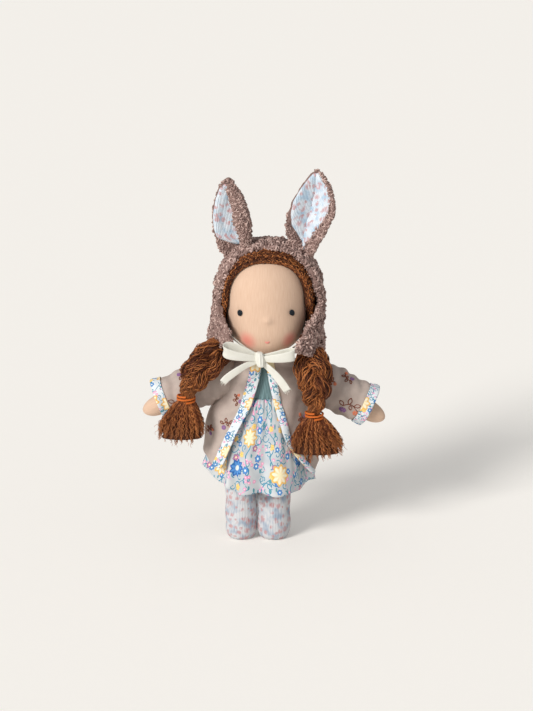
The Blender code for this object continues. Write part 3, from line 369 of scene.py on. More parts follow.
def outward(grid, wrap=False):
    """Unit normals of a grid. They point out when rows run down and columns to the viewer's right."""
    across = np.gradient(grid, axis=1)
    if wrap:
        across = (np.roll(grid, -1, axis=1) - np.roll(grid, 1, axis=1)) / 2
    return unit(np.cross(np.gradient(grid, axis=0), across))


def lumps(points, size, seed=0.0):
    """Smooth noise at each point, from about -1 to 1, with lumps of that size in millimetres."""
    flat = np.asarray(points).reshape(-1, 3) / size + seed
    values = [noise.noise(Vector(point)) for point in flat.tolist()]
    return np.array(values).reshape(np.asarray(points).shape[:-1]) * 1.6


print("mesh helpers ready")


# %% Many thin tubes in one mesh
def threads(paths, radii, sides=4, tones=None):
    """Tubes along paths (tube, step, xyz): their points, faces and UV, which is the tone and the place along."""
    paths = np.asarray(paths, float)
    count, steps = paths.shape[:2]
    radii = np.broadcast_to(np.asarray(radii, float), (count, steps))
    along = unit(np.gradient(paths, axis=1))
    spare = np.where(np.abs(along[:, 0, 2:3]) < 0.7, [[0.0, 0.0, 1.0]], [[1.0, 0.0, 0.0]])
    side = np.empty_like(paths)
    side[:, 0] = unit(np.cross(along[:, 0], spare))
    for step in range(1, steps):
        kept = side[:, step - 1]
        side[:, step] = unit(kept - (kept * along[:, step]).sum(1, keepdims=True) * along[:, step])
    up = np.cross(along, side)
    turn = full_turn(sides)[None, None, :, None]
    ring = side[:, :, None] * np.cos(turn) + up[:, :, None] * np.sin(turn)
    points = paths[:, :, None] + ring * radii[:, :, None, None]
    single = np.array(quads(steps, sides, True))[:, ::-1]
    cap = np.array([list(range(sides))[::-1], list(range((steps - 1) * sides, steps * sides))])
    start = np.arange(count)[:, None, None] * steps * sides
    faces = (single[None] + start).reshape(-1, 4).tolist()
    faces += (cap[None] + start).reshape(-1, sides).tolist()
    tones = np.random.default_rng(5).random(count) if tones is None else np.asarray(tones)
    uv = np.empty((count, steps, sides, 2))
    uv[..., 0] = tones[:, None, None] * 1000
    uv[..., 1] = np.linspace(0, 1000, steps)[None, :, None]
    return points.reshape(-1, 3), faces, uv.reshape(-1, 2)


def thread_piece(name, paths, radii, finish, body=None, sides=4, tones=None):
    points, faces, uv = threads(paths, radii, sides, tones)
    return piece(name, points, faces, finish, body, uv)


def smooth_path(knots, count):
    """A smooth run through a few points, as that many points the same share apart."""
    knots = np.asarray(knots, float)
    ends = np.concatenate([[2 * knots[0] - knots[1]], knots, [2 * knots[-1] - knots[-2]]])
    place = np.linspace(0, len(knots) - 1.0001, count)
    first = place.astype(int)
    part = (place - first)[:, None]
    a, b, c, d = (ends[first + step] for step in range(4))
    square, cube = 2 * a - 5 * b + 4 * c - d, 3 * b - a - 3 * c + d
    return 0.5 * (2 * b + (c - a) * part + square * part**2 + cube * part**3)


print("thread helper ready")


# %% [markdown]
# ## Finishes
# Skin is a fine ribbed jersey. Its wales run down the head and show as faint streaks. The blush is rubbed on
# with wax, so it is a soft round stain with no edge.

# %% Skin jersey
CHEEKS = ((-10.3, 124.0), (13.8, 123.4))
CHEEK_FRONT = -20.0
BLUSH_REACH = 7.4


def skin_finish():
    finish = Finish("ribbed_skin", Roughness=0.82, Sheen_Weight=0.15, Specular_IOR_Level=0.25)
    cloth = cloth_place(finish)
    wales = clouds(finish, stretched(finish, cloth, 1.0, 0.06), 0.4, 1.0)
    rib = ribs(finish, cloth, 0.8)
    tone = blend_ink(finish, ease(finish, wales, 0.25, 0.75), ink(211, 178, 153), ink(219, 188, 164))
    tone = blend_ink(finish, rib * 0.12, tone, ink(202, 162, 134))
    here = cloth_place(finish, "Object")
    for x, z in CHEEKS:
        cheek = finish.node("ShaderNodeCombineXYZ", {}, {0: x + home[0], 1: CHEEK_FRONT, 2: z})
        far = far_out(finish, here - cheek)
        blush = (1 - ease(finish, far, 1.0, BLUSH_REACH)) * (0.66 + 0.3 * wales)
        tone = blend_ink(finish, blush, tone, ink(228, 136, 122))
    return finish.paint(tone, rib * 0.6 + wales, 0.05)


SKIN = skin_finish()
print("skin ready")

# %% [markdown]
# Mohair is auburn and mixed: each lock has its own tone, and its tip is lighter. Every tube carries its tone
# in U and its length in V, so the material only mixes four browns. The same plan serves the looped pile of
# the bonnet, in grey browns. Its ground cloth is the pile's grey brown painted darker, as shade in the gaps under the
# loops.

# %% Mohair, pile and plain threads
def tufted_finish(name, dark, middle, light, tip, tip_share):
    """A finish for tubes that carry their tone in U and their length in V."""
    finish = Finish(name, Roughness=0.62, Specular_IOR_Level=0.3)
    place = finish.node("ShaderNodeTexCoord", {}, {}, out="UV")
    here = cloth_place(finish, "Object")
    tone = axis(finish, place, "X") * 0.75 + clouds(finish, here, 1.6, 2.0) * 0.5 - 0.12
    stops = [(0.0, dark), (0.45, middle), (0.85, light)]
    colour = finish.node("ShaderNodeValToRGB", {"stops": stops}, {0: tone})
    toward_tip = ease(finish, axis(finish, place, "Y"), 0.55, 1.0) * tip_share
    return finish.paint(blend_ink(finish, toward_tip, colour, tip))


def plain_finish(name, colour, second, size, roughness=0.8):
    """A cloth of one colour with a mottle."""
    finish = Finish(name, Roughness=roughness, Specular_IOR_Level=0.25)
    mottle = clouds(finish, cloth_place(finish, "Object"), size, 3.0)
    return finish.paint(blend_ink(finish, mottle, colour, second), mottle, 0.08)


BROWNS = ink(38, 16, 7), ink(106, 52, 25), ink(204, 128, 72), ink(196, 128, 76)
TAUPES = ink(104, 80, 74), ink(160, 132, 124), ink(206, 178, 168), ink(150, 126, 116)
MOHAIR = tufted_finish("mohair", *BROWNS, tip_share=0.35)
PILE = tufted_finish("looped_pile", *TAUPES, tip_share=0.0)
# The pile's ground: its own grey brown painted darker, as shade in the gaps under the loops.
PILE_SHADED_GROUND = plain_finish("pile_ground_painted_shade", ink(112, 88, 82), ink(160, 132, 124), 0.9, 0.95)
# The hair's ground: its own brown painted darker, as shade under the hair on the cap, the plaits' cores and the
# tassels' hearts.
HAIR_SHADE = plain_finish("hair_painted_shade", ink(40, 20, 10), ink(92, 48, 24), 0.8, 0.8)
EYE = plain_finish("eye_floss", ink(22, 28, 34), ink(44, 52, 60), 0.4, 0.45)
LIPS = plain_finish("mouth_floss", ink(228, 140, 132), ink(240, 164, 152), 0.4, 0.6)
BAND = plain_finish("orange_elastic", ink(184, 84, 28), ink(214, 118, 48), 0.5, 0.6)
WAX_THREAD = plain_finish("neck_string", ink(226, 220, 204), ink(240, 236, 224), 0.5, 0.7)
SPRIG = plain_finish("brown_floss", ink(112, 60, 42), ink(146, 84, 60), 0.6, 0.55)
LILAC = plain_finish("lilac_floss", ink(128, 88, 140), ink(166, 124, 172), 0.6, 0.55)
CORAL = plain_finish("coral_floss", ink(206, 104, 76), ink(232, 148, 110), 0.6, 0.55)
print("threads and piles ready")


# %% [markdown]
# ## Head
# The head is a ball of wool in a tight skin of jersey. A small wool bead under the skin makes the nose, and
# the cheeks are a little full. Rings from the crown to the neck give an even mesh, and a few soft bumps pushed
# out of it give the features.

# %% Head and neck
HEAD_HALF = np.array((22.8, 23.5, 28.2))
HEAD_MIDDLE = 145.0
CHIN_HALF = 30.6
FULLNESS = 2.4
JAW_FULLNESS = 3.3
JAW_DEPTH_FULLNESS = 5.5
NECK_RADIUS = 8.0
NECK_LEVELS = (114.4, 112.6, 110.9)
SKIN_ROUND = 22.5
# Each form is a bump at a place across and a height, with its spreads and how far it stands out.
NOSE, FULL_CHEEKS = (0.6, 136.4, 2.2, 1.9, 1.4), ((-11, 127, 7, 6, 0.5), (12, 127, 7, 6, 0.5))
EYE_DENTS = ((-15.0, 139.7, 3.0, 3.0, -0.5), (14.6, 139.7, 3.0, 3.0, -0.5))
MOUTH_DENT = (0.6, 123.4, 2.2, 1.4, -0.35)


def level_share(up, jaw=JAW_FULLNESS):
    """How wide the head is at a height share from -1 to 1, against its widest level. The jaw is fuller."""
    full = np.where(np.asarray(up) < 0, jaw, FULLNESS)
    return (1 - np.abs(up) ** full) ** (1 / full)


def head_surface(turn, up):
    """A point of the head: turn is 0 in front, up is the height share."""
    x = HEAD_HALF[0] * level_share(up) * np.sin(turn)
    y = -HEAD_HALF[1] * level_share(up, JAW_DEPTH_FULLNESS) * np.cos(turn)
    tall = np.where(up < 0, CHIN_HALF, HEAD_HALF[2])
    return points_at(x, y, HEAD_MIDDLE + up * tall)


def face_forms(points):
    """How far the skin stands out at each point of the face."""
    out = np.zeros(points.shape[:-1])
    for x, z, wide, high, reach in (NOSE, *FULL_CHEEKS, *EYE_DENTS, MOUTH_DENT):
        near = ((points[..., 0] - x) / wide) ** 2 + ((points[..., 2] - z) / high) ** 2
        out += reach * np.exp(-near) * (points[..., 1] < 0)
    return out


turns = full_turn(112) - math.pi
ups = np.cos(np.linspace(0.02, math.acos(-0.97), 84))
grid = head_surface(turns[None, :], ups[:, None])
grid = grid + outward(grid, True) * face_forms(grid)[..., None]
neck = points_at(NECK_RADIUS * np.sin(turns), -NECK_RADIUS * np.cos(turns), np.array(NECK_LEVELS)[:, None])
grid = np.concatenate([grid, neck])
uv = points_at(turns[None, :] * SKIN_ROUND, grid[..., 2])
head = grid_piece("head", grid, SKIN, "body", uv, wrap=True, ends=True)
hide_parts("head_skin", "head_core", "nose")
recolour("neck_thread", WAX_THREAD)
print("head:", len(head.data.polygons), "faces")


# %% [markdown]
# Each eye is a small dome of dark floss: short upright stitches that lie side by side. The mouth is two tiny
# stitches of pink floss. They are real tubes of thread laid on the skin.

# %% Eyes and mouth
def on_face(x, z, proud):
    """The point of the face at a place across and a height, raised off the skin."""
    up = (np.asarray(z, float) - HEAD_MIDDLE) / np.where(np.asarray(z) < HEAD_MIDDLE, CHIN_HALF, HEAD_HALF[2])
    share = level_share(up)
    inside = np.clip(1 - (np.asarray(x) / (HEAD_HALF[0] * share)) ** 2, 0, 1)
    deep = HEAD_HALF[1] * level_share(up, JAW_DEPTH_FULLNESS)
    point = points_at(np.asarray(x, float), -deep * np.sqrt(inside), np.asarray(z, float))
    way_x, way_y = point[..., 0] / HEAD_HALF[0] ** 2, point[..., 1] / HEAD_HALF[1] ** 2
    return point + unit(points_at(way_x, way_y, up / HEAD_HALF[2])) * (proud + face_forms(point))[..., None]


EYE_HALF = (1.15, 1.75)
EYES = (("eye_left", -15.0, 139.6, 0.1), ("eye_right", 14.4, 139.8, -0.5))
LIP_ROWS = ((1.3, 123.7), (1.0, 123.2))


def eye_stitches(x, z, tilt):
    """Upright stitches that fill a small oval, the middle ones longest and highest."""
    paths = []
    for layer, count in ((0.0, 8), (0.35, 6)):
        for column in np.linspace(-1, 1, count):
            across = column * (EYE_HALF[0] - layer * 0.5)
            half = EYE_HALF[1] * math.sqrt(max(1 - (column * 0.88) ** 2, 0.1))
            run = np.linspace(-1, 1, 9)
            dome = 0.35 + layer + 0.45 * (1 - run**2) * (1 - column**2 * 0.6)
            px = x + across * math.cos(tilt) + run * half * math.sin(tilt)
            pz = z - across * math.sin(tilt) + run * half * math.cos(tilt)
            paths.append(on_face(px, pz, dome))
    return paths


for name, x, z, tilt in EYES:
    stitched = thread_piece(f"{name}_stitches", eye_stitches(x, z, tilt), 0.24, EYE, "body", sides=6)
    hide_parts(name)
run = np.linspace(-1, 1, 9)
rise = 0.12 + 0.25 * (1 - run**2)
lips = [on_face(0.5 + run * half, z + 0.25 * run**2, rise) for half, z in LIP_ROWS]
mouth = thread_piece("mouth_stitches", lips, 0.27, LIPS, "body", sides=6)
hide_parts("mouth")
print("eyes and mouth stitched")


# %% [markdown]
# ## Hood shapes
# The hair and the bonnet are both hoods: a dome over the head and straight sides below it, open in front of
# the face. A hood without its opening is a star seen from the head's middle, so each direction has one point
# on it. The rows run from the back of the head to the opening's edge, and the columns run round that edge.

# %% A hood as a grid
def hood_point(direction, out, flare, ease_out):
    """The hood's point in a direction from the head's middle."""
    half = HEAD_HALF + out
    upper = np.maximum(direction[..., 2], 0) / half[2]
    wide_x, wide_y = half[0] + ease_out, half[1]
    side = (np.abs(direction[..., 0] / wide_x) ** 2 + np.abs(direction[..., 1] / wide_y) ** 2) ** 0.5
    length = (side**FULLNESS + upper**FULLNESS) ** (-1 / FULLNESS)
    drop = np.clip(-direction[..., 2] * length / 22, 0, 1.6)
    wider = 1 + flare * drop / np.maximum(np.hypot(direction[..., 0], direction[..., 1]) * length, 1)
    point = direction * length[..., None]
    point[..., :2] *= wider[..., None]
    return point + (0, 0, HEAD_MIDDLE)


def hood_edge(angles, width, height, middle, tuck, edge, out):
    """Points of the opening: the face window above, the lower edge behind it."""
    window = []
    for angle in angles:
        low_share = min(max(-math.cos(angle), 0) / 0.35, 1)
        across, up = (math.copysign(abs(part) ** 0.87, part) for part in (math.sin(angle), math.cos(angle)))
        x, z = width / 2 * across * (1 - tuck * low_share), middle + height / 2 * up
        half = HEAD_HALF + out
        up = max(z - HEAD_MIDDLE, 0) / half[2]
        share = (1 - up**FULLNESS) ** (1 / FULLNESS)
        y = -half[1] * share * math.sqrt(max(1 - (x / (half[0] * share)) ** 2, 0.02))
        window.append((x, y, z - HEAD_MIDDLE))
    low = [point for point in window if point[2] > edge(math.atan2(point[0], -point[1])) - HEAD_MIDDLE]
    first, last = low[0], low[-1]
    start, end = math.atan2(last[0], -last[1]), math.atan2(first[0], -first[1])
    return low, start, end


def hood_grid(rows, columns, window, edge, out, flare=0.0, ease_out=0.0):
    """A hood from the back of the head to its opening. Window: its width, height, middle and tuck below."""
    arc = np.linspace(-math.pi, math.pi, 721)
    low, start, end = hood_edge(arc, *window, edge, out)
    half = HEAD_HALF + out
    turns = np.linspace(start, 2 * math.pi + end, 240)
    skirt = [(half[0] * math.sin(t), -half[1] * math.cos(t), edge(t) - HEAD_MIDDLE) for t in turns]
    outline = np.array(low + skirt[1:-1])
    closed = np.concatenate([outline, outline[:1]])
    run = run_along(closed)
    places = np.linspace(0, run[-1], columns, endpoint=False)
    outline = np.stack([np.interp(places, run, part) for part in closed.T], axis=-1)
    to_edge = unit(outline)
    back = unit(np.array((0.0, 1.0, 0.35)))
    apart = np.arccos(np.clip(to_edge @ back, -1, 1))[None, :, None]
    share = np.linspace(0.004, 1, rows)[:, None, None]
    direction = (np.sin((1 - share) * apart) * back + np.sin(share * apart) * to_edge[None]) / np.sin(apart)
    return hood_point(direction, out, flare, ease_out)


def rolled_shell(mid, half, rim_steps=7):
    """A thick cloth about a hood's grid: its outer face, a round rim at the edge, and its inner face."""
    normal = outward(mid, True)
    if (normal[len(mid) // 2] * (mid[len(mid) // 2] - (0, 0, HEAD_MIDDLE))).sum() < 0:
        normal = -normal
    edge_way = unit(mid[-1] - mid[-4])
    thick = np.broadcast_to(np.asarray(half, float), mid.shape[:2])[..., None]
    rim = []
    for angle in np.linspace(0, math.pi, rim_steps + 2)[1:-1]:
        rim.append(mid[-1] + (normal[-1] * math.cos(angle) + edge_way * math.sin(angle)) * thick[-1])
    return np.concatenate([mid + normal * thick, np.array(rim), (mid - normal * thick)[::-1]])


print("hood helpers ready")


# %% [markdown]
# ## Looped pile
# The bonnet is sewn from a cloth of small loops. At this size each loop is a millimetre or so, so the loops
# are modelled: short curled tubes that stand on a lumpy ground cloth, thousands of them in one mesh.

# %% Loops of pile
def scatter(grid, count, seed, wrap=False, keep=None):
    """Random points of a grid, even by area, with the normals there."""
    rng = np.random.default_rng(seed)
    normal = outward(grid, wrap)
    cells = grid[:-1] if wrap else grid[:-1, :-1]
    right = (np.roll(grid, -1, axis=1)[:-1] if wrap else grid[:-1, 1:]) - cells
    below = (grid[1:] if wrap else grid[1:, :-1]) - cells
    area = np.linalg.norm(np.cross(right, below), axis=-1)
    if keep is not None:
        area = area * keep[: area.shape[0], : area.shape[1]]
    chosen = rng.choice(area.size, count, p=(area / area.sum()).ravel())
    row, column = np.unravel_index(chosen, area.shape)
    a, b = rng.random((2, count, 1))
    return cells[row, column] + right[row, column] * a + below[row, column] * b, normal[row, column]


def pile_loops(name, points, normals, size, body, seed):
    """A curled loop on each point. Size may differ from point to point."""
    rng = np.random.default_rng(seed)
    count = len(points)
    size = np.broadcast_to(size, count) * rng.uniform(0.7, 1.25, count)
    turn = rng.uniform(0, 2 * math.pi, count)[:, None]
    helper = unit(np.cross(normals, rng.normal(size=(count, 3))))
    side = helper * np.cos(turn) + np.cross(normals, helper) * np.sin(turn)
    lean = unit(normals + np.cross(side, normals) * rng.uniform(-1.1, 1.1, (count, 1)))
    angle = np.linspace(-0.5, math.pi + 0.7, 7)[None, :, None]
    reach = size[:, None, None]
    paths = points[:, None] + (side[:, None] * np.cos(angle) + lean[:, None] * np.sin(angle)) * reach
    return thread_piece(name, paths, size[:, None] * 0.5, PILE, body)


HOOD_DEPTH = 22
BONNET_THICK_HALF = 1.6
BONNET_LOOPS = 5600


def flap_edge(angle):
    """Height of the bonnet's lower edge, with a flap on each side of the face."""
    height = HEAD_MIDDLE - HOOD_DEPTH
    for at, spread, drop in ((-0.96, 0.42, 0.6), (0.96, 0.42, 5.6)):
        away = (angle - at + math.pi) % (2 * math.pi) - math.pi
        height -= drop * math.exp(-((away / spread) ** 2))
    return height


def hair_edge(_):
    return HEAD_MIDDLE - 21.6


BONNET_WINDOW = (54.4, 64.2, 142.9, 0.2)
HAIR_WINDOW = (45.2, 51.8, 142.9, -0.13)
BONNET_OUT = np.array((5.1, 5.3, 2.5))
# The bonnet sits askew: how far each side lies to the viewer's right of an even one, by height.
SHIFT_HEIGHTS = (119, 127, 134, 142, 150, 157, 165, 175)
LEFT_SHIFT, RIGHT_SHIFT = (0.2, 0.4, 1.1, 1.5, 1.9, 2.5, 2.2, 0.8), (-1.4, -0.8, 0.3, 1.5, 1.0, 0.5, 0.4, 0.3)
mid = hood_grid(110, 220, BONNET_WINDOW, flap_edge, BONNET_OUT, 2.2, 1.6)
to_side = np.clip(mid[..., 0] / 18, -1, 1)
shifts = [np.interp(mid[..., 2], SHIFT_HEIGHTS, shift) for shift in (LEFT_SHIFT, RIGHT_SHIFT)]
mid[..., 0] += np.where(to_side < 0, *shifts) * np.abs(to_side)
print("bonnet grid", mid.shape, "is", np.ptp(mid.reshape(-1, 3), axis=0).round(1), "mm")

# %% Bonnet
shell = rolled_shell(mid, BONNET_THICK_HALF)
rough = lumps(shell, 2.0, 3.0) * 0.75 + lumps(shell, 6.0, 9.0) * 0.6
shell = shell + outward(shell, True) * rough[..., None]
# The bonnet's ground cloth carries the painted shade of the gaps between its loops.
bonnet = grid_piece("bonnet_cloth", shell, PILE_SHADED_GROUND, "body", wrap=True, ends=True)
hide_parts("bonnet")
outer = shell[: len(mid) + 6]
spots, ways = scatter(outer, BONNET_LOOPS, 11, wrap=True)
ways = ways * np.sign((ways * (spots - (0, 0, HEAD_MIDDLE))).sum(1, keepdims=True))
calm = np.clip((-spots[:, 0] - 10) / 12, 0, 1) * np.clip((150 - spots[:, 2]) / 14, 0, 1)
loops = pile_loops("bonnet_loops", spots - ways * 0.25, ways, 0.98 - 0.35 * calm, "body", 12)
print("bonnet:", len(bonnet.data.polygons), "faces and", len(loops.data.polygons), "of loops")

# %% [markdown]
# ## Hair round the face
# Under the bonnet the hair is a cap in the hair's brown, painted darker as shade. What shows is a soft band round the
# face, where crinkled locks lie along the bonnet's edge. The cap closes the gap, and hundreds of crinkled strands on
# it make the band.

# %% Hair
cap = hood_grid(50, 160, HAIR_WINDOW, hair_edge, np.array((1.6, 1.6, 0.2)))
# The cap is painted dark: shade under the bonnet and the locks.
hair_cap = grid_piece("hair_cap", rolled_shell(cap, 1.0, 3), HAIR_SHADE, "body", wrap=True, ends=True)
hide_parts("wig")


LOCK_OUT = np.array((2.3, 2.3, 1.0))
FACE_LOCKS = 700
LOCK_RADIUS = 0.26


def face_locks(count, seed):
    """Wavy locks that run along the front edge of the hair, some near the face and some under the bonnet."""
    rng = np.random.default_rng(seed)
    rows, columns = 60, 400
    layer = hood_grid(rows, columns, HAIR_WINDOW, hair_edge, LOCK_OUT)
    ways = outward(layer, True)
    ways *= np.sign((ways * (layer - (0, 0, HEAD_MIDDLE))).sum(-1, keepdims=True))
    front = np.flatnonzero(layer[-1, :, 1] < -5)
    paths = []
    steps = np.linspace(0, 1, 60)
    for _ in range(count):
        long = rng.uniform(40, 95)
        start = rng.uniform(front[0] - 4, front[-1] - long + 4)
        column = np.clip(start + steps * long, 0, columns - 1.1)
        row = rows - 0.6 - rng.uniform(0, 1) * 10.0
        row = row + np.sin(steps * rng.uniform(50, 100) + rng.uniform(0, 6)) * 0.8
        row = np.clip(row + rng.uniform(-1.6, 1.6) * steps, 40, rows - 0.2)
        c, r = column.astype(int), row.astype(int)
        right, below = layer[r, c + 1] - layer[r, c], layer[np.minimum(r + 1, rows - 1), c] - layer[r, c]
        point = layer[r, c] + right * (column - c)[:, None] + below * (row - r)[:, None]
        lift = rng.uniform(-0.9, 1.4) + 0.6 * np.cos(steps * rng.uniform(50, 90) + rng.uniform(0, 6))
        lift = lift + 1.3 * np.clip((point[:, 0] - 12) / 10, 0, 1)
        paths.append(point + ways[r, c] * lift[:, None])
    return np.array(paths)


locks = face_locks(FACE_LOCKS, 21)
taper = LOCK_RADIUS * (1 - 0.6 * np.abs(np.linspace(-1, 1, 60)) ** 3)
# The locks' tones vary at random, and their mean is set darker than the braids' hair: painted shade under the bonnet's
# brim.
shaded_lock_tones = np.clip(np.random.default_rng(5).normal(0.3, 0.5, len(locks)), 0, 1)
hair_locks = thread_piece("hair_locks", locks, taper, MOHAIR, "body", sides=3, tones=shaded_lock_tones)
print("hair:", len(hair_locks.data.polygons), "faces in the band of locks")


# %% [markdown]
# ## Ears
# Each ear is a leaf of looped pile with a lining of printed knit. The left one is folded over on itself, so
# its right half hides part of the lining. The right one is open, with a crease at its foot. A table gives the
# two sides of the outline at each height, and one cross-section, bent the way the leaf is folded, is
# stretched between them.

# %% Knit with small blurred flowers
def pattern_cells(finish, cloth, cell, shift=0.0, random=1.0):
    """Cells of a pattern: the place in the cell in millimetres, and three random numbers of the cell."""
    sockets = {"Vector": (cloth + shift) / cell, "Scale": 1.0, "Randomness": random}
    node = finish.node("ShaderNodeTexVoronoi", {"voronoi_dimensions": "2D"}, sockets, out="Position")
    colour = Wire(finish, node.socket.node.outputs["Color"])
    chance = [axis(finish, colour, letter) for letter in "XYZ"]
    return stretched(finish, cloth + shift - node * cell, 1.0, 1.0, 0.0), chance


def knit_finish(name, white, blue, pink, size=1.0):
    """Rib knit in two heathered tones with small soft flowers knitted over it."""
    finish = Finish(name, Roughness=0.88, Specular_IOR_Level=0.2)
    cloth = cloth_place(finish)
    streaks = clouds(finish, stretched(finish, cloth, 1.0, 0.18), 0.7 * size, 1.0)
    mottle = clouds(finish, cloth, 6.0 * size, 1.0)
    shade = ease(finish, streaks * 0.4 + mottle * 0.8, 0.5, 0.82)
    tone = blend_ink(finish, shade, white, blue)
    warp = cloth + finish.node("ShaderNodeTexNoise", {}, {"Vector": cloth, "Scale": 0.9}, out="Color") * 2.6
    for cell, shift, kept, radius in ((5.4, 0.0, 0.15, 1.7), (3.6, 7.0, 0.55, 1.1)):
        place, chance = pattern_cells(finish, warp, cell * size, shift)
        far = far_out(finish, place) / (radius * size * (0.6 + chance[1] * 0.6))
        blot = (1 - ease(finish, far, 0.45, 1.25)) * (chance[0] > kept) * ease(finish, streaks, 0.3, 0.52)
        tone = blend_ink(finish, blot * 0.85, tone, pink)
    rib = ribs(finish, cloth, 0.95)
    return finish.paint(blend_ink(finish, (1 - rib) * 0.3, tone, blue), rib + streaks * 0.5, 0.16)


LINING = knit_finish("lining_knit", ink(226, 231, 236), ink(172, 198, 218), ink(208, 150, 146))
STOCKING = knit_finish("stocking_knit", ink(214, 213, 213), ink(150, 166, 184), ink(200, 142, 138), 0.95)
print("knits ready")

# %% Ear leaves
# Rows of an outline: height, left side and right side, from the tip down.
LEFT_EAR = (
    (214.6, -22.6, -20.6), (212.6, -25.6, -18.4), (208.9, -28.0, -16.4), (202.7, -30.0, -13.0), (193.9, -31.5, -10.2),
    (188.0, -31.4, -8.9), (178.9, -29.7, -8.6), (172.5, -27.5, -9.2), (166.0, -22.5, -10.5),
)
RIGHT_EAR = (
    (218.0, 27.6, 29.8), (215.6, 24.0, 32.0), (208.9, 18.4, 36.6), (201.4, 13.8, 39.0), (193.9, 11.2, 38.8),
    (187.2, 9.8, 35.5), (180.4, 10.9, 32.1), (175.1, 13.3, 28.6), (169.0, 17.0, 26.0),
)
# Sections across a leaf, from its left edge: the place across and how far back it lies, as shares of half the width.
FOLDED_OVER = (
    (-1.0, -0.12), (-0.5, 0.1), (0.1, 0.2), (0.65, 0.16), (0.95, -0.1), (0.9, -0.42), (0.55, -0.58), (0.08, -0.6),
)
OPEN_LEAF = ((-1.0, -0.18), (-0.55, 0.1), (-0.12, 0.34), (0.1, 0.34), (0.5, 0.1), (0.85, -0.12), (1.0, -0.4))
LEAF_COLUMNS = 41
LEAF_THICK_HALF = 1.4
EAR_LOOPS = 1500
FOLD_STARTS = 0.57


def ear_rows(outline, section, rows, lean, crease, fold):
    """The middle of the ear's cloth, from its foot to its tip. Fold is how far the turned-over edge reaches."""
    columns = LEAF_COLUMNS
    table = np.array(outline)[::-1]
    heights = table[0, 0] + (table[-1, 0] - table[0, 0]) * np.sin(np.linspace(0, math.pi / 2, rows))
    left = np.interp(heights, table[:, 0], table[:, 1] + 1.0)
    right = np.interp(heights, table[:, 0], table[:, 2] - 1.0)
    bend = smooth_path(np.array(section), columns)
    middle, half = (left + right) / 2, (right - left) / 2
    rise = (heights - heights[0]) / (heights[-1] - heights[0])
    reach = np.interp(heights, *np.array(fold).T)[:, None]
    turned = np.arange(columns)[None] > columns * FOLD_STARTS
    bend_x = np.where(turned, 1 - (1 - bend[None, :, 0]) * reach, bend[None, :, 0])
    deep = np.minimum(half, 13)[:, None] * (1 + crease * (1 - rise[:, None]) ** 2)
    y = bend[None, :, 1] * deep + lean[0] + lean[1] * rise[:, None] ** 1.3
    return points_at(middle[:, None] + bend_x * half[:, None], y, heights[:, None])


def leaf_thick_half(mid):
    """Half the leaf's thickness at each height. It thins out where the leaf is narrow."""
    wide = np.linalg.norm(mid[:, -1] - mid[:, 0], axis=1)
    return LEAF_THICK_HALF * np.minimum(1, 0.35 + wide / 12)


def ear_leaf(mid):
    """A closed ring at each height: the back of the leaf, then its front."""
    ways = outward(mid)
    ways *= np.sign(ways[len(mid) // 2, 3, 1])
    round_edge = np.sqrt(np.maximum(1 - np.abs(np.linspace(-1, 1, mid.shape[1])) ** 6, 0.0))
    profile = round_edge[None, :, None] * leaf_thick_half(mid)[:, None, None]
    back, front = mid + ways * profile, mid - ways * profile
    return np.concatenate([back, front[:, ::-1]], axis=1), ways


def between(line, at):
    """Points of a line of points at places between them."""
    return np.stack([np.interp(at, range(len(line)), part) for part in line.T], axis=-1)


def make_ear(side, outline, section, lean, crease, fold, bounds, seed, bare_above=300):
    """The leaf, its loops of pile and its lining. Bounds are the lining's share of the width by height."""
    body = f"ear_{side}"
    mid = ear_rows(outline, section, 46, lean, crease, fold)
    leaf, ways = ear_leaf(mid)
    leaf = leaf + lumps(leaf, 2.2, seed)[..., None] * unit(leaf - mid.mean(1, keepdims=True)) * 0.35
    # The leaf's ground cloth carries the painted shade of the gaps between its loops.
    cloth = grid_piece(f"ear_{side}_leaf", leaf, PILE_SHADED_GROUND, body, wrap=True, ends=True)
    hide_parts(f"ear_{side}")
    table = np.array(bounds)
    low = np.interp(mid[:, 0, 2], table[:, 0], table[:, 1])
    high = np.interp(mid[:, 0, 2], table[:, 0], table[:, 2])
    share = np.linspace(0, 1, LEAF_COLUMNS)[None]
    covered = (share > low[:, None] - 0.04) & (share < high[:, None] - 0.02)
    bare = (share < 0.14) & (mid[:, :1, 2] > bare_above)
    keep = np.concatenate([~bare, ~(covered | bare)[:, ::-1]], axis=1).astype(float)
    spots, normals = scatter(leaf, EAR_LOOPS, seed + 1, wrap=True, keep=keep)
    centre = np.array([mid[:, :, 0].mean(), mid[:, :, 1].mean() + 3])
    away = np.sign((normals[:, :2] * (spots[:, :2] - centre)).sum(1))
    normals = normals * away[:, None]
    loops = pile_loops(f"ear_{side}_loops", spots - normals * 0.2, normals, 0.75, body, seed + 2)
    steps = np.linspace(0, 1, 25)
    lining, uv = [], []
    for row in np.flatnonzero((table[0, 0] <= mid[:, 0, 2]) & (mid[:, 0, 2] <= table[-1, 0])):
        at = (low[row] + (high[row] - low[row]) * steps) * (LEAF_COLUMNS - 1)
        point, way = (between(grid[row], at) for grid in (mid, ways))
        proud = leaf_thick_half(mid)[row] + 0.6 - 1.1 * np.abs(2 * steps - 1) ** 8
        proud = proud + 0.45 * lumps(point * (1, 1, 0.6), 4.0, seed) * np.sin(math.pi * steps)
        lining.append(point - way * proud[:, None])
        along = run_along(point)
        uv.append(points_at(along - along[-1] / 2 + 40, mid[row, 0, 2] + seed * 7))
    lining, uv = np.array(lining), np.array(uv)
    silk = grid_piece(f"ear_{side}_lining", lining, LINING, body, uv)
    solid = silk.modifiers.new("cloth", "SOLIDIFY")
    solid.thickness, solid.offset = 0.0007, 0
    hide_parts(f"ear_lining_{side}")
    wide = np.linalg.norm(np.diff(lining, axis=1), axis=2).sum(1)
    tall = np.linalg.norm(np.diff(lining[:, 12], axis=0), axis=1).sum()
    print(f"{side} ear lining: {wide.max():.1f} by {tall:.1f} mm, mean width {wide.mean():.1f}")
    return silk


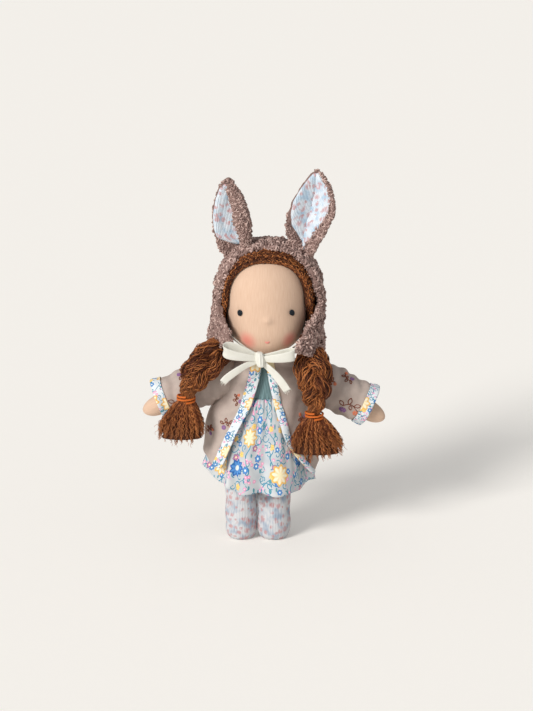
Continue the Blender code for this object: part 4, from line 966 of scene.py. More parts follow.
LEFT_FOLD = ((166, 0.45), (176, 0.54), (186, 0.76), (190, 0.9), (198, 0.84), (207, 1.1), (215, 1.2))
LEFT_BOUNDS = (
    (174.6, 0.42, 0.56), (176.5, 0.22, 0.61), (180, 0.02, 0.62), (184, 0.0, 0.62),
    (193, 0.0, 0.64), (204, 0.0, 0.66), (209.5, 0.03, 0.60), (212.2, 0.2, 0.45),
)
RIGHT_BOUNDS = (
    (172.0, 0.44, 0.52), (175, 0.34, 0.58), (180.5, 0.20, 0.70), (187, 0.09, 0.78), (194, 0.03, 0.85),
    (201, 0.0, 0.92), (209, 0.0, 0.95), (214, 0.0, 0.92), (216.9, 0.12, 0.75),
)
STRAIGHT = ((160, 1), (220, 1))
left_silk = make_ear("left", LEFT_EAR, FOLDED_OVER, (-2, -4), 0.1, LEFT_FOLD, LEFT_BOUNDS, 31)
right_silk = make_ear("right", RIGHT_EAR, OPEN_LEAF, (-4, 5), 0.4, STRAIGHT, RIGHT_BOUNDS, 47, 196)


# %% [markdown]
# ## Bow
# A flat cotton tape is sewn inside each flap. It runs along the jaw to a bow under the chin. Each side is one
# length of tape: along the jaw, into the knot, round its loop and out as a frayed end. The knot is a short
# wrap of the same tape. Tape holds its width and bends only over its flat, so it is modelled directly.

# %% Tape
def tape_finish():
    finish = Finish("cotton_tape", Roughness=0.9, Specular_IOR_Level=0.2)
    soil = clouds(finish, cloth_place(finish, "Object"), 4.0, 2.0)
    tone = blend_ink(finish, soil, ink(232, 231, 223), ink(218, 215, 203))
    return finish.paint(tone, weave(finish, cloth_place(finish), 9.0) * 0.5, 0.05)


TAPE = tape_finish()
TAPE_THICK = 0.55
FRAY_SEED = 19


def ribbon(path, across, widths):
    """A flat tape about a path: rings with round edges, its width along one direction at each point."""
    along = unit(np.gradient(path, axis=0))
    wide = unit(across - (across * along).sum(1, keepdims=True) * along)
    flat = np.cross(along, wide)
    turn = full_turn(16)
    x, y = (np.sign(part) * np.abs(part) ** 0.7 for part in (np.cos(turn), np.sin(turn)))
    place = x[None] * widths[:, None] / 2
    rings = path[:, None] + wide[:, None] * place[..., None]
    rings = rings + flat[:, None] * (y * TAPE_THICK / 2)[None, :, None]
    return rings, points_at(place, run_along(path)[:, None])


def tape_run(name, table, nodes):
    """One side's tape. Rows of its table: place, the way across the tape, and its width as it shows."""
    run = smooth_path(table, 130)
    path, across, widths = run[:, :3], run[:, 3:6], run[:, 6]
    rings, uv = ribbon(path, across, widths)
    tape = grid_piece(name, rings, TAPE, "body", uv, wrap=True, ends=True)
    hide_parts(*nodes)
    length = run_along(path)[-1] / 1000
    end, way = path[-1], unit(path[-1] - path[-4])
    side = unit(across[-1])
    rng = np.random.default_rng(FRAY_SEED)
    fringe = []
    for place in np.linspace(-0.5, 0.5, 15):
        start = end + side * place * widths[-1] - way * 0.3
        bend = way + rng.normal(size=3) * 0.35
        fringe.append([start + bend * step for step in np.linspace(0, rng.uniform(0.8, 1.8), 5)])
    frayed = thread_piece(f"{name}_fray", fringe, 0.1, TAPE, "body")
    print(f"{name}: {length * 1000:.0f} mm long")
    return tape, path, length, frayed


KNOT = np.array((-3.6, -27.0, 115.0))
LEFT_TAPE = (
    (-21, -16, 126, 0.25, -0.92, 0.3, 4.6), (-18, -19, 124.2, 0.25, -0.92, 0.3, 4.6),
    (-12.6, -22.2, 120.8, 0.25, -0.92, 0.3, 4.4), (-7.6, -24.4, 118, 0.25, -0.8, 0.5, 3.8),
    (-5, -26, 116.6, 0.2, -0.5, 0.8, 3.2), (-7.2, -26.4, 117.2, 0.1, -0.3, 1, 3.6),
    (-12, -27, 119.4, 0.1, -0.3, 1, 5), (-17, -27.4, 121.4, 0.1, -0.3, 1, 6.2),
    (-21.6, -28.2, 122.4, 0.06, -0.25, 1, 7), (-23.9, -29.8, 121.4, 0, -0.2, 1, 7.2),
    (-22.2, -31.2, 119.4, -0.05, -0.3, 1, 7), (-16.8, -31, 117.8, -0.1, -0.3, 1, 5.8),
    (-10.8, -29.8, 116.6, -0.1, -0.3, 1, 4.6), (-5.4, -28.2, 115.4, -0.2, -0.3, 1, 3.4),
    (-6.6, -27.4, 113.4, -0.5, -0.3, 0.8, 3.4), (-12, -27.8, 111.2, -0.5, -0.4, 0.8, 4.2),
    (-17.6, -27.8, 107.6, -0.6, -0.3, 0.8, 4.6), (-22, -27.4, 104.2, -0.65, -0.2, 0.8, 4.6),
    (-24.6, -27, 101.4, -0.7, -0.2, 0.7, 4.4),
)
left_nodes = ("bonnet_tape_left", "bow_loop_left", "bow_tail_left")
left_tape = tape_run("tape_left", LEFT_TAPE, left_nodes)
RIGHT_TAPE = (
    (21.5, -14.5, 124, -0.25, -0.92, 0.3, 4.6), (18, -18.2, 121.4, -0.25, -0.92, 0.3, 4.6),
    (12, -22, 118.6, -0.25, -0.92, 0.3, 4.4), (5, -24.2, 116.8, -0.25, -0.8, 0.5, 3.8),
    (-2.4, -26, 116.2, -0.2, -0.5, 0.8, 3.2), (-0.6, -26.8, 116.4, -0.1, -0.3, 1, 3.6),
    (4.4, -27.6, 117.2, -0.1, -0.3, 1, 5.2), (9.6, -28.2, 118.2, -0.06, -0.3, 1, 6.6),
    (13.6, -28.8, 118.8, 0, -0.25, 1, 7.4), (15.6, -30, 118.4, 0, -0.2, 1, 7.8),
    (13.4, -31.2, 117.6, 0.06, -0.3, 1, 7.2), (8, -30.8, 116.6, 0.1, -0.3, 1, 6),
    (2.8, -29.6, 115.8, 0.1, -0.3, 1, 4.8), (-1.6, -28.2, 115, 0.3, -0.3, 1, 3.4),
    (-1.4, -27.6, 112.4, 0.6, -0.3, 0.7, 3.4), (2, -27.8, 109.2, 0.65, -0.4, 0.6, 4.2),
    (5.6, -27.8, 105.2, 0.7, -0.3, 0.6, 4.8), (9, -27.4, 100.6, 0.75, -0.2, 0.6, 4.8),
    (11.8, -26.8, 96.2, 0.75, -0.2, 0.6, 4.6),
)
right_nodes = ("bonnet_tape_right", "bow_loop_right", "bow_tail_right")
right_tape = tape_run("tape_right", RIGHT_TAPE, right_nodes)

# %% Knot
KNOT_HALF = (2.5, 2.9, 4.3)
turn = full_turn(64)
share = np.linspace(-1, 1, 25)[:, None]
swell = (1 - abs(share) ** 2.6) ** 0.5 * 0.42 + 0.58
swell = swell * (1 + 0.08 * np.cos(turn * 9 + share * 1.5) * (1 - 0.4 * abs(share)))
x = KNOT[0] + KNOT_HALF[0] * swell * np.sin(turn) + 0.5 * share
knot_rows = points_at(x, KNOT[1] - 1.0 - KNOT_HALF[1] * swell * np.cos(turn), KNOT[2] - KNOT_HALF[2] * share)
knot = grid_piece("bow_wrap", knot_rows, TAPE, "body", knot_rows[..., [0, 2]], wrap=True, ends=True)
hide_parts("bow_knot")
for tape, path, length, frayed in (left_tape, right_tape):
    (path[0] + home) / 1000
    (path + home) / 1000
print("bow tied")


# %% [markdown]
# ## Trunk and bodice
# The trunk is a stuffed bag of skin jersey. Over it the bodice is a tube of teal jersey with fine ribs, drawn
# together in small gathers where the skirt's waist seam holds it.

# %% Trunk and bodice
HIP_Z, SHOULDER_Z, NECK = 62.0, 98.0, 110.2
TRUNK_TALL = 48.5
TRUNK_HALF = (17.0, 12.2)
HIP_MIDDLE, CHEST_MIDDLE = -5.2, -0.5


def lean_at(z):
    """Where the middle of the body lies at a height: the doll leans a little."""
    return np.interp(z, (HIP_Z, SHOULDER_Z), (HIP_MIDDLE, CHEST_MIDDLE))


def trunk_half(z):
    share = np.clip((z - HIP_Z) / TRUNK_TALL, 0, 1)
    swell = np.interp(share, (0, 0.1, 0.3, 0.55, 0.8, 0.92, 1), (0.8, 0.96, 1, 0.98, 1, 0.84, 0.55))
    return TRUNK_HALF[0] * swell, TRUNK_HALF[1] * swell


def body_ring(z, out, turns, wave=0.0):
    wide, deep = trunk_half(z)
    x = lean_at(z) + (wide + out + wave) * np.sin(turns)
    return points_at(x, -(deep + out + wave) * np.cos(turns), z)


levels = np.linspace(NECK, 59.0, 44)[:, None]
grid = body_ring(levels, -0.3, full_turn(96)[None])
grid[:, :, 1] *= np.clip((levels - 58) / 5, 0.2, 1) ** 0.5
grid = grid + outward(grid, True) * lumps(grid, 9.0, 2.0)[..., None] * 0.3
trunk = grid_piece("trunk_bag", grid, SKIN, "body", grid[..., [0, 2]], wrap=True, ends=True)
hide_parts("trunk")


def bodice_finish():
    finish = Finish("teal_jersey", Roughness=0.9, Specular_IOR_Level=0.2)
    cloth = cloth_place(finish)
    wale = ribs(finish, cloth, 0.9)
    fuzz = clouds(finish, stretched(finish, cloth, 1.0, 0.25), 0.8, 2.0)
    tone = blend_ink(finish, fuzz, ink(96, 124, 128), ink(136, 162, 164))
    return finish.paint(blend_ink(finish, wale * 0.25, tone, ink(84, 108, 112)), wale + fuzz * 0.5, 0.12)


def cloth_uv(grid):
    """Each point's place on the flat cloth: the run along the rows from the middle, and down the columns."""
    across = running(np.linalg.norm(np.diff(grid, axis=1), axis=2).mean(0))
    down = running(np.linalg.norm(np.diff(grid, axis=0), axis=2).mean(1))
    return points_at(across[None] - across[-1] / 2, -down[:, None])


def cloth_sheet(name, grid, finish, thick, body=None, wrap=False, uv=None):
    """A sheet of cloth with a real thickness, given by Solidify, which also closes its edges."""
    sheet = grid_piece(name, grid, finish, body, cloth_uv(grid) if uv is None else uv, wrap=wrap)
    solid = sheet.modifiers.new("cloth", "SOLIDIFY")
    solid.thickness, solid.offset = thick / 1000, 0
    bpy.context.view_layer.objects.active = sheet
    with bpy.context.temp_override(object=sheet, active_object=sheet):
        bpy.ops.object.modifier_apply(modifier=solid.name)
    sheet.data.shade_smooth()
    return sheet


BODICE_TOP, BODICE_SEAM, BODICE_FOOT = 106.0, 86.6, 83.2
turns = full_turn(260)[None] - math.pi
pleat = np.cos(turns * 38 + 1.3 * np.sin(turns * 5)) * 0.5 + np.cos(turns * 23 + 0.7) * 0.5
z = np.linspace(BODICE_TOP, BODICE_FOOT, 34)[:, None]
gather = 0.42 * np.exp(-((z - BODICE_SEAM) / 3.4) ** 2) + 0.2 * np.exp(-((z - BODICE_TOP) / 2.0) ** 2)
bodice = cloth_sheet("bodice_tube", body_ring(z, 1.0, turns, pleat * gather), bodice_finish(), 0.8, "body", wrap=True)
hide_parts("dress_bodice")
print("trunk and bodice")

# %% [markdown]
# ## Printed cotton
# The skirt's cloth is white cotton with an open print of flowers on curved stems. Every flower comes from a
# cell of a Voronoi pattern: the place in the cell gives an angle and a radius, and the angle bends the edge
# into petals. The cell's random colour picks the kind of flower and leaves some cells empty. Long stems wind
# down the cloth as sums of sines, and tendrils are short spirals in cells of their own.

# %% Flower print
def flower(finish, tone, cells, share, radius, petals, colour, heart, rim):
    """Draws a flower with round petals in the cells whose chance lies between the two shares."""
    place, chance = cells
    far = far_out(finish, place) / (radius * (0.8 + chance[2] * 0.4))
    scallop = sine(finish, (angle_round(finish, place) + chance[1] * 6.0) * petals)
    past_edge = far - (0.76 + scallop * 0.24)
    here = (chance[0] > share[0]) * (chance[0] < share[1])
    tone = blend_ink(finish, here * (1 - ease(finish, past_edge, -0.06, 0.06)), tone, rim)
    petal = here * (1 - ease(finish, past_edge, -0.26, -0.12)) * (0.55 + scallop * 0.45)
    tone = blend_ink(finish, petal, tone, colour)
    return blend_ink(finish, here * (1 - ease(finish, far, 0.24, 0.34)), tone, heart)


def curls(finish, tone, cloth, cell, shift, radius, kept):
    """Thin spiral tendrils, one in each cell that is kept, each turned its own way."""
    place, chance = pattern_cells(finish, cloth, cell, shift)
    sockets = {"Vector": place, "Angle": chance[1] * 6.28}
    turned = finish.node("ShaderNodeVectorRotate", {"rotation_type": "Z_AXIS"}, sockets)
    off = far_out(finish, turned) - radius - angle_round(finish, turned) * (radius * 0.2)
    off = finish.node("ShaderNodeMath", {"operation": "ABSOLUTE"}, {0: off})
    return blend_ink(finish, (chance[0] < kept) * (1 - ease(finish, off, 0.16, 0.36)), tone, STEM)


def vine(finish, tone, cloth, apart, shift):
    """Long stems that wind down the cloth, the given millimetres apart."""
    down = axis(finish, cloth, "Y")
    sway = sine(finish, down * 0.34 + shift) * 5.0 + sine(finish, down * 0.13 + shift * 2) * 6.0
    line = axis(finish, cloth, "X") + sway + clouds(finish, cloth, 5.0, 0.0) * 3.0 + shift
    off = finish.node("ShaderNodeMath", {"operation": "PINGPONG"}, {0: line, 1: apart / 2})
    return blend_ink(finish, 1 - ease(finish, off, 0.24, 0.48), tone, STEM)


STEM = ink(62, 140, 168)
LEAF = ink(96, 156, 160), ink(96, 156, 160), STEM
# Rows of a kind: which cells have it, radius, petals, and the colours of petals, heart and rim.
SMALL = (((0.0, 0.62), 1.05, 5, ink(240, 168, 200), ink(250, 226, 226), ink(226, 130, 176)),)
MEDIUM = (
    ((0.46, 0.6), 1.9, 5, ink(246, 220, 140), ink(240, 196, 110), ink(232, 180, 96)),
    ((0.74, 0.86), 2.0, 5, ink(204, 140, 170), ink(250, 232, 180), ink(128, 92, 134)),
)
LARGE = (
    ((0.0, 0.5), 4.8, 9, ink(92, 150, 210), ink(226, 230, 222), ink(46, 98, 170)),
    ((0.5, 1.0), 6.6, 8, ink(250, 242, 214), ink(248, 234, 190), ink(238, 186, 96)),
)


def print_finish(name, ground, shade, scale, crowd):
    """White cotton printed with large and small flowers, leaves and stems. Crowd fills more cells. A soft random wash
    toward the shade colour is painted shade.
    """
    finish = Finish(name, Roughness=0.85, Specular_IOR_Level=0.2)
    cloth = cloth_place(finish, size=1 / scale)
    # A soft random wash toward the shade colour: painted shade on the white cotton.
    tone = blend_ink(finish, clouds(finish, cloth, 9.0, 1.0), ground, shade)
    tone = vine(finish, tone, cloth, 19.0, 2.0)
    for cell, shift, radius in ((6.4, 2.0, 1.9), (8.6, 17.0, 2.8), (5.2, 28.0, 1.3)):
        tone = curls(finish, tone, cloth, cell, shift, radius, 0.34 + crowd * 0.2)
    place, chance = pattern_cells(finish, cloth, 3.6, 9.0)
    leaves = stretched(finish, place, 1.0, 0.45), chance
    tone = flower(finish, tone, leaves, (0.0, 0.16 + crowd * 0.2), 0.7, 2, *LEAF)
    place, chance = pattern_cells(finish, cloth, 2.7, 4.0)
    crowded = clouds(finish, cloth + 9.0, 8.0, 1.0) < 0.52
    small = place, (chance[0] + crowded * 2.0, *chance[1:])
    middling = pattern_cells(finish, cloth, 7.6, 31.0)
    blue = ((0.0, 0.24 + crowd * 0.2), 2.1, 6, ink(92, 152, 210), ink(232, 236, 226), ink(58, 112, 180))
    large = pattern_cells(finish, cloth, 27.0, 16.0, 0.7)
    for cells, kinds in ((small, SMALL), (middling, (blue, *MEDIUM)), (large, LARGE)):
        for kind in kinds:
            tone = flower(finish, tone, cells, *kind)
    return finish.paint(tone, weave(finish, cloth, 16.0), 0.03)


# The second colour of each print is the painted shade of its wash.
PRINT = print_finish("floral_cotton", ink(219, 220, 219), ink(166, 175, 184), 1.0, 0.0)
BAND_PRINT = print_finish("band_cotton", ink(234, 237, 238), ink(214, 224, 230), 0.72, 0.8)
print("print ready")

# %% [markdown]
# ## Skirt
# The skirt is a gathered tube. At the waist it has many fine gathers, and lower down they run together into
# about ten broad folds of uneven width. The hem dips in front and flares at the left side. The cloth crosses
# the hips.

# %% Gathered skirt
WAIST = 87.1
SKIRT_TALL = 54
WAIST_HALF, HEM_HALF = (18.6, 13.8), (32.2, 22.4)
COTTON_THICK = 0.55
PRINT_ROUND = 37.0


def left_corner(turns):
    """1 at the left, where the skirt flares out and its hem rises, and 0 away from it."""
    away = (turns - 4.8 + math.pi) % (2 * math.pi) - math.pi
    return np.exp(-((away / 0.42) ** 4))


def skirt_hem(turns):
    """Height of the hem all the way round."""
    dip = np.cos(turns) + 2.3 * np.sin(turns) + 2.4 * np.cos(2 * turns)
    return 35.4 + 5.5 * left_corner(turns) - dip + 0.5 * np.sin(turns * 5 + 1)


def skirt_folds(turns, share):
    """How far the cloth stands out in folds: fine gathers at the waist, broad folds at the hem."""
    bent = turns + 0.16 * np.sin(turns * 3 + 0.8) + 0.1 * np.sin(turns * 2 + 2.0)
    broad = 2.0 * np.cos(10 * bent + 0.6) + 0.9 * np.cos(7 * bent + 2.0) + 0.5 * np.cos(16 * bent + 4.0)
    middle = 0.5 * np.cos(21 * bent + 1.2) + 0.35 * np.cos(29 * turns)
    fine = 0.5 * np.cos(52 * turns + 2.2 * np.sin(turns * 4)) + 0.25 * np.cos(37 * turns)
    broad = broad + 2.2 * left_corner(turns) - 2.2 * left_corner(turns - 0.62)
    return broad * share**1.2 + middle * share**0.5 * (1 - share) * 1.5 + fine * np.exp(-share / 0.1)


def skirt_shape(z, out=0.0):
    """Half width and depth of the skirt at a height, before its folds, and the middle it hangs round."""
    share = np.clip((WAIST - z) / SKIRT_TALL, 0, 1)
    grow = 0.12 * np.minimum(share / 0.08, 1) + 0.88 * share**0.9
    wide, deep = (waist + (hem - waist) * grow + out for waist, hem in zip(WAIST_HALF, HEM_HALF))
    return wide, deep, lean_at(WAIST) * (1 - share) + HIP_MIDDLE * share


def skirt_grid(rows, turns):
    share = np.linspace(0, 1, rows)[:, None]
    z = WAIST + (skirt_hem(turns) - WAIST) * share
    wide, deep, middle = skirt_shape(z)
    fold = skirt_folds(turns, share)
    sag = 0.5 * share**2 * np.cos(10 * turns)
    return points_at(middle + (wide + fold) * np.sin(turns), -(deep + fold) * np.cos(turns), z + sag)


# The seam is at the back, so the columns run from there all the way round to it again.
turns = np.linspace(math.pi, 3 * math.pi, 421)[None]
grid = skirt_grid(70, turns)
flat_uv = points_at((turns - math.pi) * PRINT_ROUND, grid[..., 2])
skirt = cloth_sheet("skirt_cloth", grid, PRINT, COTTON_THICK, uv=flat_uv)
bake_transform(skirt)
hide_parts("dress_skirt")
print("skirt:", len(skirt.data.polygons), "faces")


# %% [markdown]
# ## Jacket
# The jacket is one panel of fine grey-brown cotton that goes round the back from one front edge to the other.
# A table gives each front edge, because the jacket hangs open by a different amount on the two sides. Bands
# of the printed cotton finish the edges. Small sprigs are embroidered on it, so they are threads here.

# %% Jacket cloth
def jacket_finish():
    finish = Finish("corded_cotton", Roughness=0.86, Specular_IOR_Level=0.2)
    cloth = cloth_place(finish)
    cord = ribs(finish, cloth, 0.6)
    fuzz = clouds(finish, cloth, 3.5, 3.0)
    tone = blend_ink(finish, fuzz, ink(176, 160, 151), ink(200, 184, 174))
    return finish.paint(blend_ink(finish, cord * 0.12, tone, ink(138, 122, 116)), cord + fuzz, 0.07)


JACKET = jacket_finish()
JACKET_THICK, BAND_THICK = 0.7, 0.6
NECK_HALF, CHEST_GROWTH = 10.8, (12.6, 5.6)
SHOULDER_DROP = NECK - SHOULDER_Z
# Rows of a front edge: height, and place across.
LEFT_FRONT = (
    (110.2, -2.6), (101.8, -3.8), (93.4, -6.0), (85, -8.6), (77, -12.6), (68, -17.0), (57, -22.0), (46.5, -26.4),
)
RIGHT_FRONT = ((110.2, -0.4), (98, 1.8), (87, 3.9), (77.5, 6.6), (68.7, 9.0), (60, 12.8), (51, 19.0), (40, 26.4))
# Rows of the hem: the angle from straight ahead, and height.
HEM_TABLE = ((0.7, 40.0), (1.57, 45.0), (3.14, 48.5), (4.6, 55.0), (5.1, 51.5), (5.6, 47.5))
RIGHT_CORNER_Z, LEFT_CORNER_Z = HEM_TABLE[0][1], HEM_TABLE[-1][1]
BAND_MIDDLE_HEM, SPRIG_HEM = 44.0, 47.0
BAND_WIDTHS = (("left", 1, 6.2), ("right", 0, 4.2))


def jacket_size(z):
    """Half width and depth of the jacket at a height, and its middle."""
    z = np.asarray(z, float)
    grow = np.sin(math.pi / 2 * np.clip((NECK - z) / SHOULDER_DROP, 0, 1)) ** 0.8
    share = np.clip((SHOULDER_Z - z) / 11, 0, 1)
    *over_skirt, middle = skirt_shape(z, 2.6)
    flare = 2.2 * np.clip((WAIST - z) / 45, 0, 1)
    sizes = []
    for growth, below in zip(CHEST_GROWTH, over_skirt):
        above = NECK_HALF + growth * grow
        sizes.append(np.maximum(above, (below + flare) * share + above * (1 - share)))
    return *sizes, np.where(z < WAIST, middle, lean_at(z))


def front_turn(table, z):
    """The angle from straight ahead of a front edge at a height."""
    table = np.array(table)[::-1]
    wide, _, middle = jacket_size(z)
    return np.arcsin(np.clip((np.interp(z, table[:, 0], table[:, 1]) - middle) / wide, -0.95, 0.95))


def jacket_point(turn, share, out=0.0):
    """A point of the jacket at an angle from straight ahead and a share of the way down to its hem."""
    hem = np.interp(np.mod(turn, 2 * math.pi), *np.array(HEM_TABLE).T)
    z = NECK + (hem - NECK) * share
    wide, deep, middle = jacket_size(z)
    bent = turn + 0.2 * np.sin(turn * 2 + 1)
    fold = (1.0 * np.cos(7 * bent + 1.0) + 0.5 * np.cos(12 * bent)) * np.maximum(share - 0.25, 0) ** 1.2
    fold = fold + 0.45 * np.cos(turn * 9 + share * 16) * np.sin(math.pi * share) ** 2 + out
    left = (np.mod(turn, 2 * math.pi) - 4.75) / 0.6
    fold = fold + 4.5 * np.exp(-(left**2) - ((z - 73) / 12) ** 2)
    return points_at(middle + (wide + fold) * np.sin(turn), -(deep + fold) * np.cos(turn), z)


def front_edges(share):
    """Angles of the right and the left front edge at a share of the way down."""
    right = front_turn(RIGHT_FRONT, NECK + (RIGHT_CORNER_Z - NECK) * share)
    left = front_turn(LEFT_FRONT, NECK + (LEFT_CORNER_Z - NECK) * share)
    return right, left + 2 * math.pi


rows = [jacket_point(np.linspace(*front_edges(share), 220), share) for share in np.linspace(0, 1, 70)]
jacket = cloth_sheet("jacket_cloth", np.array(rows), JACKET, JACKET_THICK)
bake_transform(jacket)
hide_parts("jacket_body")
for side, which, width in BAND_WIDTHS:
    rows = []
    for share in np.linspace(0.0, 1.0, 90):
        edge = front_edges(share)[which]
        wide = jacket_size(NECK + (BAND_MIDDLE_HEM - NECK) * share)[0]
        reach = np.linspace(-0.25, width, 12) / wide * (-1 if which else 1)
        swell = 0.75 + 0.35 * np.sin(np.linspace(0, math.pi, 12)) + 0.12 * math.sin(share * 47)
        rows.append(jacket_point(edge + reach, share, swell))
    band = cloth_sheet(f"front_band_{side}_cloth", np.array(rows), BAND_PRINT, BAND_THICK)
    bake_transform(band)
    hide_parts(f"front_band_{side}")
print("jacket:", len(jacket.data.polygons), "faces")


# %% [markdown]
# ## Embroidered sprigs
# A sprig is a stem with leaves drawn in outline and a small flower of satin stitches. It is planned on a flat
# patch in millimetres and then laid on the cloth, so the same words serve the jacket and the sleeves.

# %% Sprigs
# Rows of a leaf: place, angle and length. Rows of a flower: place, radius and count of petals.
SPRIG_LEAVES = ((-3.2, 0.2, 2.3, 3.0), (-1.0, 1.2, 1.5, 3.2), (1.4, 0.7, 0.5, 3.0), (-0.4, 0.8, -1.2, 2.4))
SPRIG_FLOWERS = ((-3.0, -2.4, 1.6, 7), (2.6, -2.2, 1.2, 6))
# Rows of a patch on the jacket: angle from straight ahead, share of the way down, scale and turn.
PATCHES = (
    (5.52, 0.60, 0.8, 0.3), (5.62, 0.36, 0.7, 1.9), (5.1, 0.72, 0.7, 1.0), (1.02, 0.52, 0.8, 2.6),
    (0.98, 0.88, 0.7, 0.4), (1.7, 0.75, 0.8, 1.0), (2.4, 0.45, 0.8, 0.2), (2.9, 0.8, 0.8, 2.0),
    (3.6, 0.55, 0.8, 1.2), (4.2, 0.82, 0.8, 0.5),
)
FLOSS_RADIUS = 0.25


def turned_by(angle):
    """A matrix that turns flat rows by an angle."""
    return np.array(((math.cos(angle), math.sin(angle)), (-math.sin(angle), math.cos(angle))))


def leaf_outline(x, y, angle, size):
    """A pointed leaf as one closed run of back stitches."""
    run = np.linspace(0, 1, 12)
    upper = points_at(run * size, 0.26 * size * np.sin(math.pi * run))
    outline = np.concatenate([upper, (upper * (1, -1))[::-1]])
    return outline @ turned_by(angle) + (x, y)


def sprig(scale, turn):
    """Flat runs of a sprig by colour: brown stem and leaves, a lilac flower and a coral one."""
    steps = np.linspace(0, 1, 24)
    stem = points_at(steps * 7 - 3.5, 1.3 * np.sin(steps * 4))
    groups = [[stem, *(leaf_outline(*leaf) for leaf in SPRIG_LEAVES)]]
    for x, y, size, count in SPRIG_FLOWERS:
        reach = np.linspace(0.25 * size, size, 24)
        angles = [petal + spread for petal in full_turn(count) for spread in (-0.22, 0, 0.22)]
        groups.append([points_at(x + reach * math.cos(angle), y + reach * math.sin(angle)) for angle in angles])
    return [[(run @ turned_by(turn)) * scale for run in group] for group in groups]


def stitch_on(name, lay, patches, body=None):
    """Lays sprigs on a cloth. Lay turns flat millimetres near a patch's middle into points on the cloth."""
    made = []
    for group, (colour, finish) in enumerate((("stems", SPRIG), ("lilac", LILAC), ("coral", CORAL))):
        paths = [lay(patch, run) for patch in patches for run in sprig(*patch[2:])[group]]
        threads_made = thread_piece(f"{name}_{colour}", paths, FLOSS_RADIUS, finish, body)
        made.append(threads_made)
    return made


def on_jacket(patch, run):
    turn, share = patch[:2]
    wide = jacket_size(NECK + (SPRIG_HEM - NECK) * share)[0]
    return jacket_point(turn + run[:, 0] / wide, share - run[:, 1] / 64, 0.62)


for threads_made in stitch_on("jacket", on_jacket, PATCHES):
    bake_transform(threads_made)
print("sprigs stitched")


# %% [markdown]
# ## Arms, sleeves and cuffs
# An arm is a stuffed tube of skin jersey with a round hand. Its sleeve is a wide tube that ends in a cuff of
# printed cotton, turned back. Sleeve and cuff move with the arm. Rings across the arm carry the wrinkles.

# %% Arms
DROOP = {"left": math.radians(21.4), "right": math.radians(26.8)}
SHOULDERS = {"left": np.array((-23.0, 0, SHOULDER_Z)), "right": np.array((22.0, 0, SHOULDER_Z))}
ARM_RADIUS, SLEEVE_WIDEST, CUFF_ROUND = 6.4, 12.4, 12.8
ARM_SQUASH, SLEEVE_SQUASH = 0.9, 0.86
SLEEVE_END = 40.6
# Rows of a tube: how far along it a ring lies, and its radius.
ARM_RINGS = (
    (-8.5, 0.8), (-7.8, 3), (-6.5, 5), (-4, 6.4), (30, 6.4), (38, 5.8), (42, 6.0), (45, 5.6), (48.5, 4.5), (50.9, 2.7),
    (51.9, 0.7),
)
SLEEVE_RINGS = ((-9, 2.0), (-7.5, 6.5), (-4, 9.8), (0, 11.4), (8, 12.4), (20, 12.2), (32, 11.5), (41.5, 11.0))
ARM_REACH = np.array((-8.5, -7.8, -6.5, -4, 0, 6, 14, 24, 34, 38, 41, 44, 47, 49.6, 51.2, 51.9))[:, None]
CUFF_REACH = np.concatenate([np.linspace(36.4, 41.9, 16), [42.2, 42.0], np.linspace(41.4, 39.5, 5)])[:, None]
CUFF_OUT = np.concatenate([np.full(16, 1.0), [0.6, 0.1], np.full(5, -0.5)])[:, None]
CUFF_OUT += 0.25 * np.sin(np.linspace(0, math.pi, len(CUFF_OUT)))[:, None]
# Rows of a patch on a sleeve: how far along it lies, its angle from the top, scale and turn.
SLEEVE_PATCHES = (
    (31.0, 1.85, 1.35, 0.2), (22.0, 0.5, 0.8, 2.8), (14.0, 1.2, 0.8, 1.0), (26.0, 3.9, 0.9, 0.6),
    (12.0, 5.0, 0.8, 2.0),
)


def arm_point(side, reach, turn, radius, squash=1.0):
    """A point of a ring across an arm. Turn 0 is on top and a quarter turn is in front."""
    way = -1 if side == "left" else 1
    along = np.array((way * math.cos(DROOP[side]), 0, -math.sin(DROOP[side])))
    up = np.array((way * math.sin(DROOP[side]), 0, math.cos(DROOP[side])))
    radius, turn, reach = (np.asarray(value, float)[..., None] for value in (radius, turn, reach))
    ring = np.cos(turn) * up * radius + np.sin(turn) * np.array((0, -1.0, 0)) * radius * squash
    return SHOULDERS[side] + along * reach + ring


def sleeve_radius(side, reach, turn):
    """The sleeve's radius with its folds and creases, which fade out toward the shoulder."""
    phase = 0.4 if side == "left" else 2.1
    fold = 0.42 * np.sin(turn * 3 + reach * 0.32 + phase) + 0.3 * np.sin(turn * 5 - reach * 0.45 + phase * 2)
    crease = 0.45 * np.cos(reach * 0.9 + 1.4 * np.sin(turn * 2 + phase))
    crease = crease * (0.4 + 0.6 * np.sin(turn * 0.5 + phase) ** 2)
    return np.interp(reach, *np.array(SLEEVE_RINGS).T) + (fold + crease) * np.clip((reach + 4) / 10, 0, 1)


